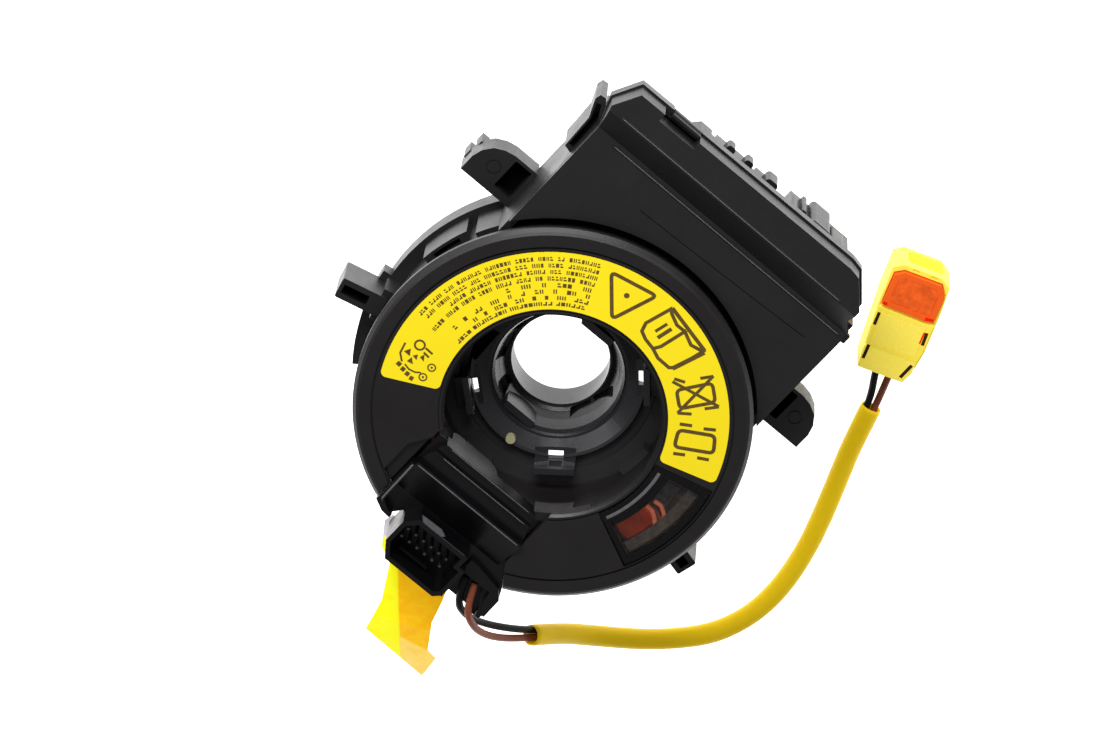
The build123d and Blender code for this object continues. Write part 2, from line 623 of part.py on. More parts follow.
with BuildPart() as rotor_cover:
    with BuildSketch(Plane.XZ):
        with BuildLine():
            Polyline([(sleeve_ri, 24.6), (sleeve_ro, 24.6), (sleeve_ro, face_z - cover_t),
                      (47.2, face_z - cover_t), (47.2, 41.0), (48.6, 41.0), (48.6, face_z - cover_t),
                      (rim_r - 0.2, face_z - cover_t), (rim_r, face_z - cover_t + 0.3), (rim_r, face_z - 1.3),
                      (rim_r - 0.9, face_z - 0.35), (rim_r - 1.6, face_z), (45.35, face_z), (45.35, face_z - 0.7), (44.85, face_z - 0.7),
                      (44.85, face_z), (28.55, face_z), (28.55, face_z - 0.45), (28.25, face_z - 0.45),
                      (28.25, face_z), (27.7, face_z), (mouth_r, face_z - 0.6), (mouth_r, face_z - 2.2),
                      (sleeve_ri, face_z - 4.4)], close=True)
        make_face()
    revolve(axis=Axis.Z)
    # seat of the label
    with BuildSketch(Plane.XY.offset(face_z)):
        Circle(label_ro + 0.08)
        Circle(label_ri - 0.05, mode=Mode.SUBTRACT)
        with BuildLine():
            Polyline(sector(70, 17.3, 208.2, 60), close=True)
        make_face(mode=Mode.INTERSECT)
    extrude(amount=-0.1, mode=Mode.SUBTRACT)
    # seat of the window insert and the opening under it
    with BuildSketch(Plane.XY.offset(face_z)):
        Circle(44.62)
        Circle(28.55, mode=Mode.SUBTRACT)
        with BuildLine():
            Polyline(sector(70, -25.2, 15.2), close=True)
        make_face(mode=Mode.INTERSECT)
    extrude(amount=-1.25, mode=Mode.SUBTRACT)
    with BuildSketch(Plane.XY.offset(face_z)):
        Circle(42.4)
        Circle(33.6, mode=Mode.SUBTRACT)
        with BuildLine():
            Polyline(sector(70, -22.4, 11.2), close=True)
        make_face(mode=Mode.INTERSECT)
    extrude(amount=-(cover_t + 0.2), mode=Mode.SUBTRACT)
    # bay for the terminal block: through the disc, the lip ring and the rim
    with BuildSketch(Plane.XY.offset(40.9)):
        with BuildLine():
            Polyline([(17.35, -22.0), (17.35, -31.6), (17.65, -38.38), (22.14, -44.97), (23.44, -47.58),
                      (23.68, -60.0), (-18.35, -60.0), (-18.35, -22.0)], close=True)
        make_face()
        Circle(31.2, mode=Mode.SUBTRACT)
    extrude(amount=10, mode=Mode.SUBTRACT)
    with BuildSketch(Plane.XY.offset(42.6)):
        with BuildLine():
            Polyline([(17.45, -20.0), (17.45, -32.0), (-18.35, -34.0), (-18.35, -20.0)], close=True)
        make_face()
    extrude(amount=10, mode=Mode.SUBTRACT)
    # shallow strip beside the block, inside the rim
    with BuildSketch(Plane.XY.offset(45.8)):
        with BuildLine():
            Polyline([(-21.8, -30.0), (-17.0, -22.0), (-17.0, -60.0), (-21.8, -60.0)], close=True)
        make_face()
        Circle(44.85, mode=Mode.INTERSECT)
    extrude(amount=10, mode=Mode.SUBTRACT)
    # apron under the lip of the mouth
    for a0, a1, z0 in ((-59.0, -38.5, 39.6), (-39.0, -28.5, 43.0)):
        with BuildSketch(Plane.XY.offset(z0)):
            Circle(29.6)
            Circle(27.3, mode=Mode.SUBTRACT)
            with BuildLine():
                Polyline(sector(60, a0, a1), close=True)
            make_face(mode=Mode.INTERSECT)
        extrude(amount=45.6 - z0)
rotor_cover.part.label = "rotor_cover"
export_step(rotor_cover.part, "parts/rotor_cover.step")

with BuildPart() as label_sheet:
    with BuildSketch(Plane.XY.offset(face_z - 0.1)):
        Circle(label_ro)
        Circle(label_ri, mode=Mode.SUBTRACT)
        with BuildLine():
            Polyline(sector(70, 17.8, 207.9, 60), close=True)
        make_face(mode=Mode.INTERSECT)
    extrude(amount=0.16)
    fillet(label_sheet.edges().filter_by(Axis.Z), 1.5)
label_sheet.part.label = "label_sheet"
export_step(label_sheet.part, "parts/label_sheet.step")

# Clear insert over the centring roller.
with BuildPart() as window_insert:
    with BuildSketch(Plane.XY.offset(face_z - 1.25)):
        Circle(44.5)
        Circle(28.68, mode=Mode.SUBTRACT)
        with BuildLine():
            Polyline(sector(70, -25.0, 15.0), close=True)
        make_face(mode=Mode.INTERSECT)
    extrude(amount=1.25)
    with BuildSketch(Plane.XY.offset(face_z)):
        Circle(42.2)
        Circle(32.0, mode=Mode.SUBTRACT)
        with BuildLine():
            Polyline(sector(70, -21.6, 10.8), close=True)
        make_face(mode=Mode.INTERSECT)
    extrude(amount=-0.5, mode=Mode.SUBTRACT)
window_insert.part.label = "window_insert"
export_step(window_insert.part, "parts/window_insert.step")

# Grey hub that seats on the steering shaft, clipped into the winding sleeve.
with BuildPart() as hub:
    with BuildSketch(Plane.XZ):
        with BuildLine():
            Polyline([(bore_r, bore_bottom), (15.0, bore_bottom), (15.0, 8.6), (15.8, 9.4), (17.0, 12.0),
                      (17.7, 17.2), (21.9, 20.6), (22.5, 21.2), (22.5, 22.3), (22.2, 22.6), (21.4, 22.4),
                      (17.9, 20.5), (17.3, 20.5), (16.8, 20.0), (16.2, 18.6), (15.2, 14.6), (14.2, 11.6),
                      (13.4, bore_top + 0.3), (13.1, bore_top), (bore_r, bore_top)], close=True)
        make_face()
    revolve(axis=Axis.Z)
    # guide blocks on both sides of the bowl, level with its rim
    for s in (-1, 1):
        with BuildSketch(Plane.XY.offset(11.6)):
            with BuildLine():
                Polyline([(-4.8, s * 14.3), (4.6, s * 14.3), (4.6, s * 16.3), (-4.8, s * 16.3)], close=True)
            make_face()
        extrude(amount=8.9)
    # three upright clips that snap over the gear ring, each with a window at its root
    for a, d, t0, t1 in ((-50.0, 22.7, -5.5, 4.9), (-131.0, 21.9, -5.2, 5.0), (42.0, 21.9, -5.0, 5.0)):
        ca, sa = math.cos(math.radians(a)), math.sin(math.radians(a))
        for d0, d1, z0, z1, u0, u1 in ((19.8, d + 1.6, 20.8, 22.4, t0, t1), (d, d + 1.6, 20.8, 29.0, t0, t1),
                                       (d + 1.0, 25.9, 24.04, 25.6, t0 + 1.2, t1 - 1.2)):
            with BuildSketch(Plane.XY.offset(z0)):
                with BuildLine():
                    Polyline([(d0 * ca - u0 * sa, d0 * sa + u0 * ca), (d1 * ca - u0 * sa, d1 * sa + u0 * ca),
                              (d1 * ca - u1 * sa, d1 * sa + u1 * ca), (d0 * ca - u1 * sa, d0 * sa + u1 * ca)],
                             close=True)
                make_face()
            extrude(amount=z1 - z0)
        for d0, d1, z0, z1, u0, u1 in ((20.4, d - 0.1, 16.0, 24.0, -2.1, 1.8), (d - 0.4, d + 0.7, 23.6, 27.4, -1.7, 1.5)):
            with BuildSketch(Plane.XY.offset(z0)):
                with BuildLine():
                    Polyline([(d0 * ca - u0 * sa, d0 * sa + u0 * ca), (d1 * ca - u0 * sa, d1 * sa + u0 * ca),
                              (d1 * ca - u1 * sa, d1 * sa + u1 * ca), (d0 * ca - u1 * sa, d0 * sa + u1 * ca)],
                             close=True)
                make_face()
            extrude(amount=z1 - z0, mode=Mode.SUBTRACT)
    # notch in the flange
    with BuildSketch(Plane.XY.offset(19.0)):
        with Locations((-21.4, -6.0)):
            Rectangle(6.0, 9.4)
    extrude(amount=8.0, mode=Mode.SUBTRACT)
    # pockets in the foot of the bowl, each pair parted by a rib
    for pts in ([(11.6, -9.6), (13.6, -3.6), (12.9, -3.4), (10.6, -8.4)],
                [(13.9, -2.6), (15.4, 3.0), (14.2, 4.4), (13.1, -2.3)],
                [(-15.4, 2.2), (-15.4, -1.0), (-13.5, -1.0), (-13.2, 2.6)],
                [(-15.3, -2.1), (-14.0, -8.6), (-11.4, -8.6), (-13.3, -2.1)],
                [(-9.2, -13.0), (-7.6, -11.4), (-5.4, -12.6), (-5.3, -15.6), (-7.4, -15.2)]):
        for reach, floor_z in ((15.0, 9.0), (16.4, 12.2)):
            with BuildSketch(Plane.XY.offset(floor_z)):
                with BuildLine():
                    Polyline(pts, close=True)
                make_face()
                Circle(reach, mode=Mode.INTERSECT)
            extrude(amount=19.9 - floor_z, mode=Mode.SUBTRACT)
    # hole for the peg
    with BuildSketch(Plane.XY.offset(21.9)):
        with Locations(at_angle(21.0, -84.0)):
            Circle(1.27)
    extrude(amount=4.0, mode=Mode.SUBTRACT)
hub.part.label = "hub"
export_step(hub.part, "parts/hub.step")

# Cream plastic peg pressed into the flange of the hub.
with BuildPart() as hub_peg:
    with BuildSketch(Plane.XY.offset(21.9)):
        with Locations(at_angle(21.0, -84.0)):
            Circle(1.25)
    extrude(amount=1.5)
hub_peg.part.label = "hub_peg"
export_step(hub_peg.part, "parts/hub_peg.step")

# Terminal block on the wheel side, with the switch socket and the lead notch.
with BuildPart() as terminal_block:
    with BuildSketch(Plane.XY.offset(42.7)):
        with BuildLine():
            Polyline([(-14.4, -23.4), (14.4, -23.4), (17.3, -31.6), (17.6, -38.4), (22.1, -45.0), (23.4, -47.6),
                      (23.6, -54.6), (21.4, -56.4), (12.0, -57.4), (11.4, -55.6), (-7.0, -55.6), (-10.3, -51.0),
                      (-10.3, -45.5), (-12.6, -48.4), (-15.0, -48.0), (-17.9, -46.4), (-17.3, -32.6)], close=True)
        make_face()
    extrude(amount=2.6)
    # roof: three parallel crests running across the block
    with BuildSketch(Plane.YZ.offset(-17.2)):
        with BuildLine():
            Polyline([(-23.4, 45.0), (-23.4, 47.9), (-24.2, 47.9), (-24.6, 47.0), (-26.2, 47.0), (-26.5, 48.0),
                      (-27.2, 48.0), (-27.6, 47.0), (-30.6, 47.0), (-31.3, 49.4), (-32.1, 49.6), (-41.2, 45.2),
                      (-41.2, 45.0)], close=True)
        make_face()
    extrude(amount=34.4)
    with BuildSketch(Plane.XY.offset(45.2)):
        with BuildLine():
            Polyline([(-14.4, -23.3), (14.4, -23.3), (17.3, -31.6), (17.6, -38.4), (19.0, -41.3),
                      (30, -41.3), (30, -10), (-30, -10), (-30, -41.3), (-17.6, -41.3), (-17.3, -32.6)], close=True)
        make_face()
    extrude(amount=8, mode=Mode.SUBTRACT)
    # left cheek
    with BuildSketch(Plane.XY.offset(43.0)):
        with BuildLine():
            Polyline([(-17.9, -32.6), (-16.9, -32.6), (-16.6, -45.2), (-14.4, -46.6), (-12.4, -47.2), (-12.4, -48.2),
                      (-15.0, -48.0), (-18.2, -46.4)], close=True)
        make_face()
    extrude(amount=5.6)
    # wall that drops into the opening
    with BuildSketch(Plane.XZ.offset(23.5)):
        with BuildLine():
            Polyline([(-13.2, 43.4), (-13.2, 38.4), (-12.4, 37.2), (-11.2, 37.0), (-1.0, 37.4), (0.6, 38.6),
                      (1.8, 41.6), (1.9, 43.4)], close=True)
        make_face()
    extrude(amount=1.6)
    # switch socket, open towards the steering wheel
    with BuildSketch(Plane.XY.offset(42.7)):
        with BuildLine():
            Polyline([(-10.3, -44.4), (-7.4, -41.2), (8.3, -41.2), (8.3, -44.6), (10.2, -44.6), (10.2, -53.4),
                      (8.4, -55.3), (-7.2, -55.3), (-10.3, -51.2)], close=True)
        make_face()
    extrude(amount=11.3)
    with BuildSketch(Plane.XY.offset(44.0)):
        with BuildLine():
            Polyline([(-9.1, -45.0), (-6.8, -42.5), (7.1, -42.5), (7.1, -45.6), (9.0, -45.6), (9.0, -52.9),
                      (7.8, -54.1), (-6.6, -54.1), (-9.1, -50.8)], close=True)
        make_face()
    extrude(amount=12, mode=Mode.SUBTRACT)
    # rib inside the socket
    with BuildSketch(Plane.XY.offset(44.0)):
        with Locations((-0.6, -52.9)):
            Rectangle(9.0, 0.8)
    extrude(amount=4.0)
    # lead notch
    with BuildSketch(Plane.XY.offset(43.4)):
        with BuildLine():
            Polyline([(12.4, -48.4), (18.6, -48.4), (19.4, -50.4), (21.8, -54.0), (22.4, -60.0), (12.6, -60.0),
                      (12.2, -52.0)], close=True)
        make_face()
    extrude(amount=8, mode=Mode.SUBTRACT)
    with BuildSketch(Plane.XY.offset(42)):
        with Locations((17.4, -58.3)):
            Rectangle(9.4, 6.0)
    extrude(amount=3, mode=Mode.SUBTRACT)
    # shoulder right of the notch
    with BuildSketch(Plane.XY.offset(45.2)):
        with BuildLine():
            Polyline([(10.9, -43.6), (12.6, -43.6), (21.4, -45.2), (23.4, -47.6), (23.5, -53.6), (22.6, -53.6),
                      (20.6, -50.6), (20.2, -47.4), (11.8, -47.4), (10.9, -47.0)], close=True)
        make_face()
    extrude(amount=2.2)
terminal_block.part.label = "terminal_block"
export_step(terminal_block.part, "parts/terminal_block.step")

with BuildPart() as socket_pins:
    with BuildSketch(Plane.XY.offset(44.0)):
        with Locations((-0.5, -48.6)):
            with GridLocations(2.5, 2.6, 6, 2):
                Rectangle(0.64, 0.64)
    extrude(amount=4.6)
socket_pins.part.label = "socket_pins"
export_step(socket_pins.part, "parts/socket_pins.step")

# ---------------------------------------------------------------------------
# Switch lead: two wires in a sleeve, ending in a plug that rests on the floor
# ---------------------------------------------------------------------------

def bend_radii(points):
    """Arc radius at each corner of a route, from the shorter run beside it."""
    radii = []
    for i in range(1, len(points) - 1):
        a, b, c = Vector(*points[i - 1]), Vector(*points[i]), Vector(*points[i + 1])
        turn = math.radians((b - a).get_angle(c - b))
        radii.append(min(200.0, 0.45 * min((b - a).length, (c - b).length) / math.tan(turn / 2)))
    return radii


sleeve_route = [(41.58, -58.31, 25.61),
                (48.90, -56.19, 17.28),
                (57.56, -53.68, 10.49),
                (66.95, -49.69, 5.69),
                (75.97, -43.41, 2.85),
                (82.97, -34.62, 2.85),
                (86.65, -23.99, 2.85),
                (86.87, -12.72, 2.85),
                (84.75, -1.63, 2.85),
                (81.27, 9.13, 2.85),
                (77.12, 19.65, 2.85),
                (72.97, 30.16, 2.85),
                (69.63, 40.96, 2.85)]

black_route = [(13.62, -48.78, 44.88),
                (15.82, -55.78, 44.96),
                (21.54, -59.03, 41.09),
                (27.54, -59.57, 36.28),
                (33.64, -58.76, 31.62),
                (39.46, -57.47, 26.70),
                (44.73, -56.17, 21.21),
                (50.13, -54.75, 15.87),
                (56.10, -53.01, 11.30),
                (62.41, -50.67, 7.51),
                (68.79, -47.43, 4.63),
                (74.86, -42.97, 2.99),
                (80.02, -37.25, 2.85),
                (83.72, -30.49, 2.85),
                (85.63, -23.03, 2.85),
                (85.98, -15.32, 2.85),
                (85.10, -7.65, 2.85),
                (83.29, -0.13, 2.85),
                (80.82, 7.19, 2.85),
                (77.98, 14.37, 2.85),
                (75.08, 21.53, 2.85),
                (72.43, 28.79, 2.85),
                (70.18, 36.18, 2.85),
                (67.43, 43.34, 3.17),
                (63.27, 49.27, 5.79),
                (59.60, 55.81, 6.73)]

brown_route = [(16.41, -48.78, 44.93),
                (18.99, -55.44, 46.20),
                (24.31, -59.40, 42.82),
                (29.57, -61.18, 37.77),
                (34.91, -61.08, 32.50),
                (40.21, -59.53, 27.38),
                (45.07, -58.22, 21.79),
                (50.14, -57.00, 16.37),
                (55.93, -55.34, 11.86),
                (62.09, -53.14, 8.16),
                (68.35, -50.17, 5.23),
                (74.42, -46.16, 3.33),
                (79.83, -40.99, 2.85),
                (84.12, -34.83, 2.85),
                (86.87, -27.84, 2.85),
                (88.06, -20.42, 2.85),
                (87.95, -12.90, 2.85),
                (86.83, -5.46, 2.85),
                (84.95, 1.82, 2.85),
                (82.50, 8.94, 2.85),
                (79.74, 15.94, 2.85),
                (76.91, 22.92, 2.85),
                (74.24, 29.95, 2.85),
                (71.87, 37.09, 2.85),
                (69.42, 44.16, 3.00),
                (66.54, 50.47, 5.84),
                (63.80, 57.31, 6.73)]

for wire_name, route in (("black_wire", black_route), ("brown_wire", brown_route)):
    radii = bend_radii(route)
    with BuildPart() as wire:
        with BuildLine() as path:
            FilletPolyline(*route, radius=radii)
        start = Plane(origin=route[0], z_dir=Vector(*route[1]) - Vector(*route[0]))
        with BuildSketch(start):
            Circle(wire_d / 2)
        sweep(path=path.wires()[0])
    print(wire_name, "arc radii", [round(v, 1) for v in radii], "volume", round(wire.part.volume, 1),
          "section x length", round(sum(e.length for e in path.edges()) * math.pi * wire_d ** 2 / 4, 1),
          "length", round(sum(e.length for e in path.edges()), 1))
    wire.part.label = wire_name
    export_step(wire.part, "parts/" + wire_name + ".step")

sleeve_radii = bend_radii(sleeve_route)
with BuildPart() as lead_sleeve:
    with BuildLine() as path:
        FilletPolyline(*sleeve_route, radius=sleeve_radii)
    start = Plane(origin=sleeve_route[0], z_dir=Vector(*sleeve_route[1]) - Vector(*sleeve_route[0]))
    with BuildSketch(start):
        Circle(tube_od / 2)
        Circle(tube_id / 2, mode=Mode.SUBTRACT)
    sweep(path=path.wires()[0])
print("lead_sleeve arc radii", [round(v, 1) for v in sleeve_radii], "volume", round(lead_sleeve.part.volume, 1),
      "section x length", round(sum(e.length for e in path.edges()) * math.pi * (tube_od ** 2 - tube_id ** 2) / 4, 1),
      "length", round(sum(e.length for e in path.edges()), 1))
lead_sleeve.part.label = "lead_sleeve"
export_step(lead_sleeve.part, "parts/lead_sleeve.step")

# plug: local x runs across it, local y from the wires to its mouth
plug_plane = Plane(origin=(62.5, 52.0, 0), x_dir=(0.938, 0.347, 0), z_dir=(0, 0, 1))
plug_outline = [(-6.2, 0.0), (6.2, 0.0), (7.4, 3.4), (8.2, 9.8), (8.0, 20.6), (7.5, 28.4), (4.6, 30.3),
                (-5.6, 30.3), (-8.0, 28.6), (-7.8, 19.5), (-7.0, 9.4)]
wire_port_z = 6.75
ports = (-1.7, 2.7)
with BuildPart() as plug_housing:
    with BuildSketch(plug_plane):
        with BuildLine():
            Polyline(plug_outline, close=True)
        make_face()
    extrude(amount=12.4)
    # shoulders step down to the wire end
    with BuildSketch(plug_plane.offset(11.2)):
        with Locations((0, 2.0)):
            Rectangle(20, 6.0)
    extrude(amount=4, mode=Mode.SUBTRACT)
    # bed of the locking cap
    with BuildSketch(plug_plane.offset(10.4)):
        with BuildLine():
            Polyline([(-7.3, 18.0), (7.3, 18.0), (7.3, 26.4), (5.4, 29.1), (-4.9, 29.1), (-7.3, 27.6)], close=True)
        make_face()
    extrude(amount=4, mode=Mode.SUBTRACT)
    # wells for the legs of the cap
    with BuildSketch(plug_plane.offset(2.2)):
        with Locations((-6.4, 22.6), (6.4, 22.6)):
            Rectangle(1.6, 4.6)
    extrude(amount=12, mode=Mode.SUBTRACT)
    # latch slots along both shoulders
    with BuildSketch(plug_plane.offset(9.6)):
        with Locations((-6.5, 14.4), (6.65, 13.8), (-5.2, 4.6), (5.6, 4.2)):
            Rectangle(0.9, 3.4)
    extrude(amount=6, mode=Mode.SUBTRACT)
    with BuildSketch(plug_plane.offset(11.2)):
        with Locations((-2.1, 29.75), (2.9, 29.75)):
            Rectangle(1.9, 0.5)
    extrude(amount=4, mode=Mode.SUBTRACT)
    # rim of the rear half
    with BuildSketch(plug_plane.offset(12.4)):
        with BuildLine():
            Polyline([(-6.4, 6.6), (7.2, 6.6), (7.7, 9.8), (7.5, 17.6), (-7.2, 17.6), (-6.65, 9.4)], close=True)
        make_face()
        with BuildLine():
            Polyline([(-5.4, 7.7), (6.0, 7.7), (6.3, 9.9), (6.1, 16.5), (-6.0, 16.5), (-5.6, 9.4)], close=True)
        make_face(mode=Mode.SUBTRACT)
    extrude(amount=0.7)
    # wire ports, terminal bores and the mouth
    with BuildSketch(Plane(origin=(62.5 + 0.5 * 0.347, 52.0 - 0.5 * 0.938, 0), x_dir=(-0.938, -0.347, 0), z_dir=(-0.347, 0.938, 0))):
        with Locations((-ports[0], wire_port_z), (-ports[1], wire_port_z)):
            Circle(1.35)
    extrude(amount=25.0, mode=Mode.SUBTRACT)
    with BuildSketch(Plane(origin=(62.5 - 24.0 * 0.347, 52.0 + 24.0 * 0.938, 0), x_dir=(-0.938, -0.347, 0), z_dir=(-0.347, 0.938, 0))):
        with Locations((-0.4, 5.6)):
            RectangleRounded(9.6, 7.4, 1.0)
    extrude(amount=8.0, mode=Mode.SUBTRACT)
    # shared recess behind the ports
    with BuildSketch(Plane(origin=(62.5 + 0.5 * 0.347, 52.0 - 0.5 * 0.938, 0), x_dir=(-0.938, -0.347, 0), z_dir=(-0.347, 0.938, 0))):
        with Locations((-0.7, 6.5)):
            RectangleRounded(7.8, 4.2, 1.2)
    extrude(amount=5.0, mode=Mode.SUBTRACT)
plug_housing.part.label = "plug_housing"
export_step(plug_housing.part, "parts/plug_housing.step")

with BuildPart() as plug_terminals:
    with BuildSketch(Plane(origin=(62.5 - 9.0 * 0.347, 52.0 + 9.0 * 0.938, 0), x_dir=(-0.938, -0.347, 0), z_dir=(-0.347, 0.938, 0))):
        with Locations((-ports[0], wire_port_z), (-ports[1], wire_port_z)):
            Circle(1.25)
            Circle(0.55, mode=Mode.SUBTRACT)
    extrude(amount=14.0)
plug_terminals.part.label = "plug_terminals"
export_step(plug_terminals.part, "parts/plug_terminals.step")

# Orange locking cap, pushed down once the plug is home.
with BuildPart() as plug_lock:
    with BuildSketch(plug_plane.offset(10.75)):
        with BuildLine():
            Polyline([(-6.95, 18.7), (4.9, 18.35), (6.95, 18.9), (6.95, 26.2), (5.2, 28.7), (-4.7, 28.7),
                      (-6.95, 27.2)], close=True)
        make_face()
    extrude(amount=2.1)
    # raised rear wall, ends and front lip
    with BuildSketch(plug_plane.offset(12.8)):
        with BuildLine():
            Polyline([(-6.95, 18.7), (4.9, 18.35), (6.95, 18.9), (6.95, 26.2), (5.2, 28.7), (-4.7, 28.7),
                      (-6.95, 27.2)], close=True)
        make_face()
        with BuildLine():
            Polyline([(-5.6, 19.9), (5.5, 19.9), (5.5, 25.6), (4.2, 27.4), (-4.0, 27.4), (-5.6, 26.2)], close=True)
        make_face(mode=Mode.SUBTRACT)
    extrude(amount=0.7)
    with BuildSketch(plug_plane.offset(2.9)):
        with Locations((-6.4, 22.6), (6.4, 22.6)):
            Rectangle(0.9, 3.9)
    extrude(amount=8.2)
plug_lock.part.label = "plug_lock"
export_step(plug_lock.part, "parts/plug_lock.step")

# Yellow protective film stuck under the switch socket, hanging over the rim.
film_plane = Plane(origin=(3.0, -50.0, 0), x_dir=(0.431, -0.902, 0), z_dir=(-0.902, -0.431, 0))
with BuildPart() as film_tab:
    with BuildSketch(film_plane.offset(-9)):
        with BuildLine():
            Polyline([(-8.0, 42.15), (4.0, 42.15), (10.0, 41.75), (16.0, 40.9), (24.0, 38.5), (31.0, 35.1),
                      (36.0, 32.2), (44.0, 26.9),
                      (44.17, 27.15), (36.17, 32.47), (31.15, 35.4), (24.1, 38.8), (16.05, 41.2),
                      (10.0, 42.05), (4.0, 42.45), (-8.0, 42.45)], close=True)
        make_face()
    extrude(amount=25.0)
    with BuildSketch(Plane.XY.offset(20)):
        with BuildLine():
            Polyline([(-5.2, -51.6), (-8.4, -48.9), (-10.7, -49.6), (-11.3, -52.0), (-7.3, -57.9), (-2.6, -60.4),
                      (3.1, -70.5), (6.3, -81.2), (18.4, -83.2), (27.7, -85.1), (25.7, -76.5), (22.35, -75.6),
                      (16.8, -66.9), (14.3, -59.5), (12.4, -54.8), (8.0, -51.0)], close=True)
        make_face()
    extrude(amount=30, mode=Mode.INTERSECT)
film_tab.part.label = "film_tab"
export_step(film_tab.part, "parts/film_tab.step")
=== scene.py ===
import bpy
import bmesh
import json
import math
import random
from mathutils import Matrix, Vector


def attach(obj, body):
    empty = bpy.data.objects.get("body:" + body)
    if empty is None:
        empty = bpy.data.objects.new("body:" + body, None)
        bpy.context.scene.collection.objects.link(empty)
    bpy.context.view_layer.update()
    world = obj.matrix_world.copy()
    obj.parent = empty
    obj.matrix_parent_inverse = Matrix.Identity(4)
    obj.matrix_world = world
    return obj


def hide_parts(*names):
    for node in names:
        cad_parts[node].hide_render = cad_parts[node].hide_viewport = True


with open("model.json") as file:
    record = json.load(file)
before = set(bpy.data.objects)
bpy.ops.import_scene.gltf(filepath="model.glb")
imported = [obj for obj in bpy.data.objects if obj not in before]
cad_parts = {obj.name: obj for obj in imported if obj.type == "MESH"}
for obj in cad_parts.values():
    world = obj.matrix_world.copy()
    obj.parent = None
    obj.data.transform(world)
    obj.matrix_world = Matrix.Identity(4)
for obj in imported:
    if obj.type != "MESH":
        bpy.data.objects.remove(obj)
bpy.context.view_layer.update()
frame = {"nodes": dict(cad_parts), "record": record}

nodes = frame["nodes"]
MM = 0.001
FACE = 0.0475


# ---------------------------------------------------------------------------
# materials
# ---------------------------------------------------------------------------
def new_mat(name):
    m = bpy.data.materials.new(name)
    m.use_nodes = True
    nt = m.node_tree
    nt.nodes.clear()
    out = nt.nodes.new("ShaderNodeOutputMaterial")
    bsdf = nt.nodes.new("ShaderNodeBsdfPrincipled")
    nt.links.new(bsdf.outputs["BSDF"], out.inputs["Surface"])
    return m, nt, bsdf


def noise(nt, scale, detail=4.0, rough=0.6, vec=None, distortion=0.0):
    n = nt.nodes.new("ShaderNodeTexNoise")
    n.inputs["Scale"].default_value = scale
    n.inputs["Detail"].default_value = detail
    n.inputs["Roughness"].default_value = rough
    n.inputs["Distortion"].default_value = distortion
    if vec is None:
        tc = nt.nodes.new("ShaderNodeTexCoord")
        vec = tc.outputs["Object"]
    nt.links.new(vec, n.inputs["Vector"])
    return n.outputs["Fac"]


def ramp(nt, fac, stops):
    r = nt.nodes.new("ShaderNodeValToRGB")
    els = r.color_ramp.elements
    while len(els) < len(stops):
        els.new(0.5)
    for e, (p, c) in zip(els, stops):
        e.position = p
        e.color = (*c, 1.0) if len(c) == 3 else c
    nt.links.new(fac, r.inputs["Fac"])
    return r.outputs["Color"]


def maprange(nt, fac, a, b, lo=0.3, hi=0.7):
    n = nt.nodes.new("ShaderNodeMapRange")
    n.inputs["From Min"].default_value = lo
    n.inputs["From Max"].default_value = hi
    n.inputs["To Min"].default_value = a
    n.inputs["To Max"].default_value = b
    nt.links.new(fac, n.inputs["Value"])
    return n.outputs["Result"]


def bump(nt, height, distance, strength=1.0, normal=None):
    b = nt.nodes.new("ShaderNodeBump")
    b.inputs["Distance"].default_value = distance
    b.inputs["Strength"].default_value = strength
    nt.links.new(height, b.inputs["Height"])
    if normal is not None:
        nt.links.new(normal, b.inputs["Normal"])
    return b.outputs["Normal"]


def tint(c, k):
    return tuple(max(0.0, min(1.0, x * k)) for x in c)


def moulded(name, color, rough=0.45, spread=0.10, grain=0.30, depth=0.012, var=0.10, spec=0.5, coat=0.0,
            transmission=0.0, sss=0.0, painted_glow=0.0):
    """Moulded plastic: spark-eroded grain, slow flow shading, fine scuffs."""
    m, nt, b = new_mat(name)
    big = noise(nt, 42.0, 3.0, 0.55)
    small = noise(nt, 520.0, 5.0, 0.65)
    mix = nt.nodes.new("ShaderNodeMix")
    mix.data_type = "FLOAT"
    mix.inputs[0].default_value = 0.35
    nt.links.new(big, mix.inputs[2])
    nt.links.new(small, mix.inputs[3])
    col = ramp(nt, mix.outputs[0], [(0.30, tint(color, 1 - var)), (0.52, color), (0.74, tint(color, 1 + var))])
    nt.links.new(col, b.inputs["Base Color"])
    nt.links.new(maprange(nt, noise(nt, 90.0, 6.0, 0.7), rough - spread, rough + spread), b.inputs["Roughness"])
    n1 = bump(nt, noise(nt, 1.0 / (grain * MM), 2.0, 0.5), depth * MM, 1.0)
    n2 = bump(nt, noise(nt, 38.0, 2.0, 0.4), 0.05 * MM, 0.6, n1)
    nt.links.new(n2, b.inputs["Normal"])
    b.inputs["Specular IOR Level"].default_value = spec
    if coat:
        b.inputs["Coat Weight"].default_value = coat
        b.inputs["Coat Roughness"].default_value = 0.15
    if sss:
        b.inputs["Subsurface Weight"].default_value = sss
        b.inputs["Subsurface Radius"].default_value = (0.002, 0.0015, 0.001)
        b.inputs["Subsurface Scale"].default_value = 1.0
    if transmission:
        b.inputs["Transmission Weight"].default_value = transmission
    # painted glow: the base colour is emitted, so the part looks brighter as if lit, though it is no lamp
    if painted_glow:
        nt.links.new(col, b.inputs["Emission Color"])
        b.inputs["Emission Strength"].default_value = painted_glow
    return m


def metal(name, color, rough=0.25, scale=900.0):
    m, nt, b = new_mat(name)
    f = noise(nt, scale, 4.0, 0.6)
    nt.links.new(ramp(nt, f, [(0.3, tint(color, 0.85)), (0.7, color)]), b.inputs["Base Color"])
    nt.links.new(maprange(nt, noise(nt, 300.0, 3.0), rough * 0.7, rough * 1.4), b.inputs["Roughness"])
    nt.links.new(bump(nt, f, 0.004 * MM), b.inputs["Normal"])
    b.inputs["Metallic"].default_value = 1.0
    return m


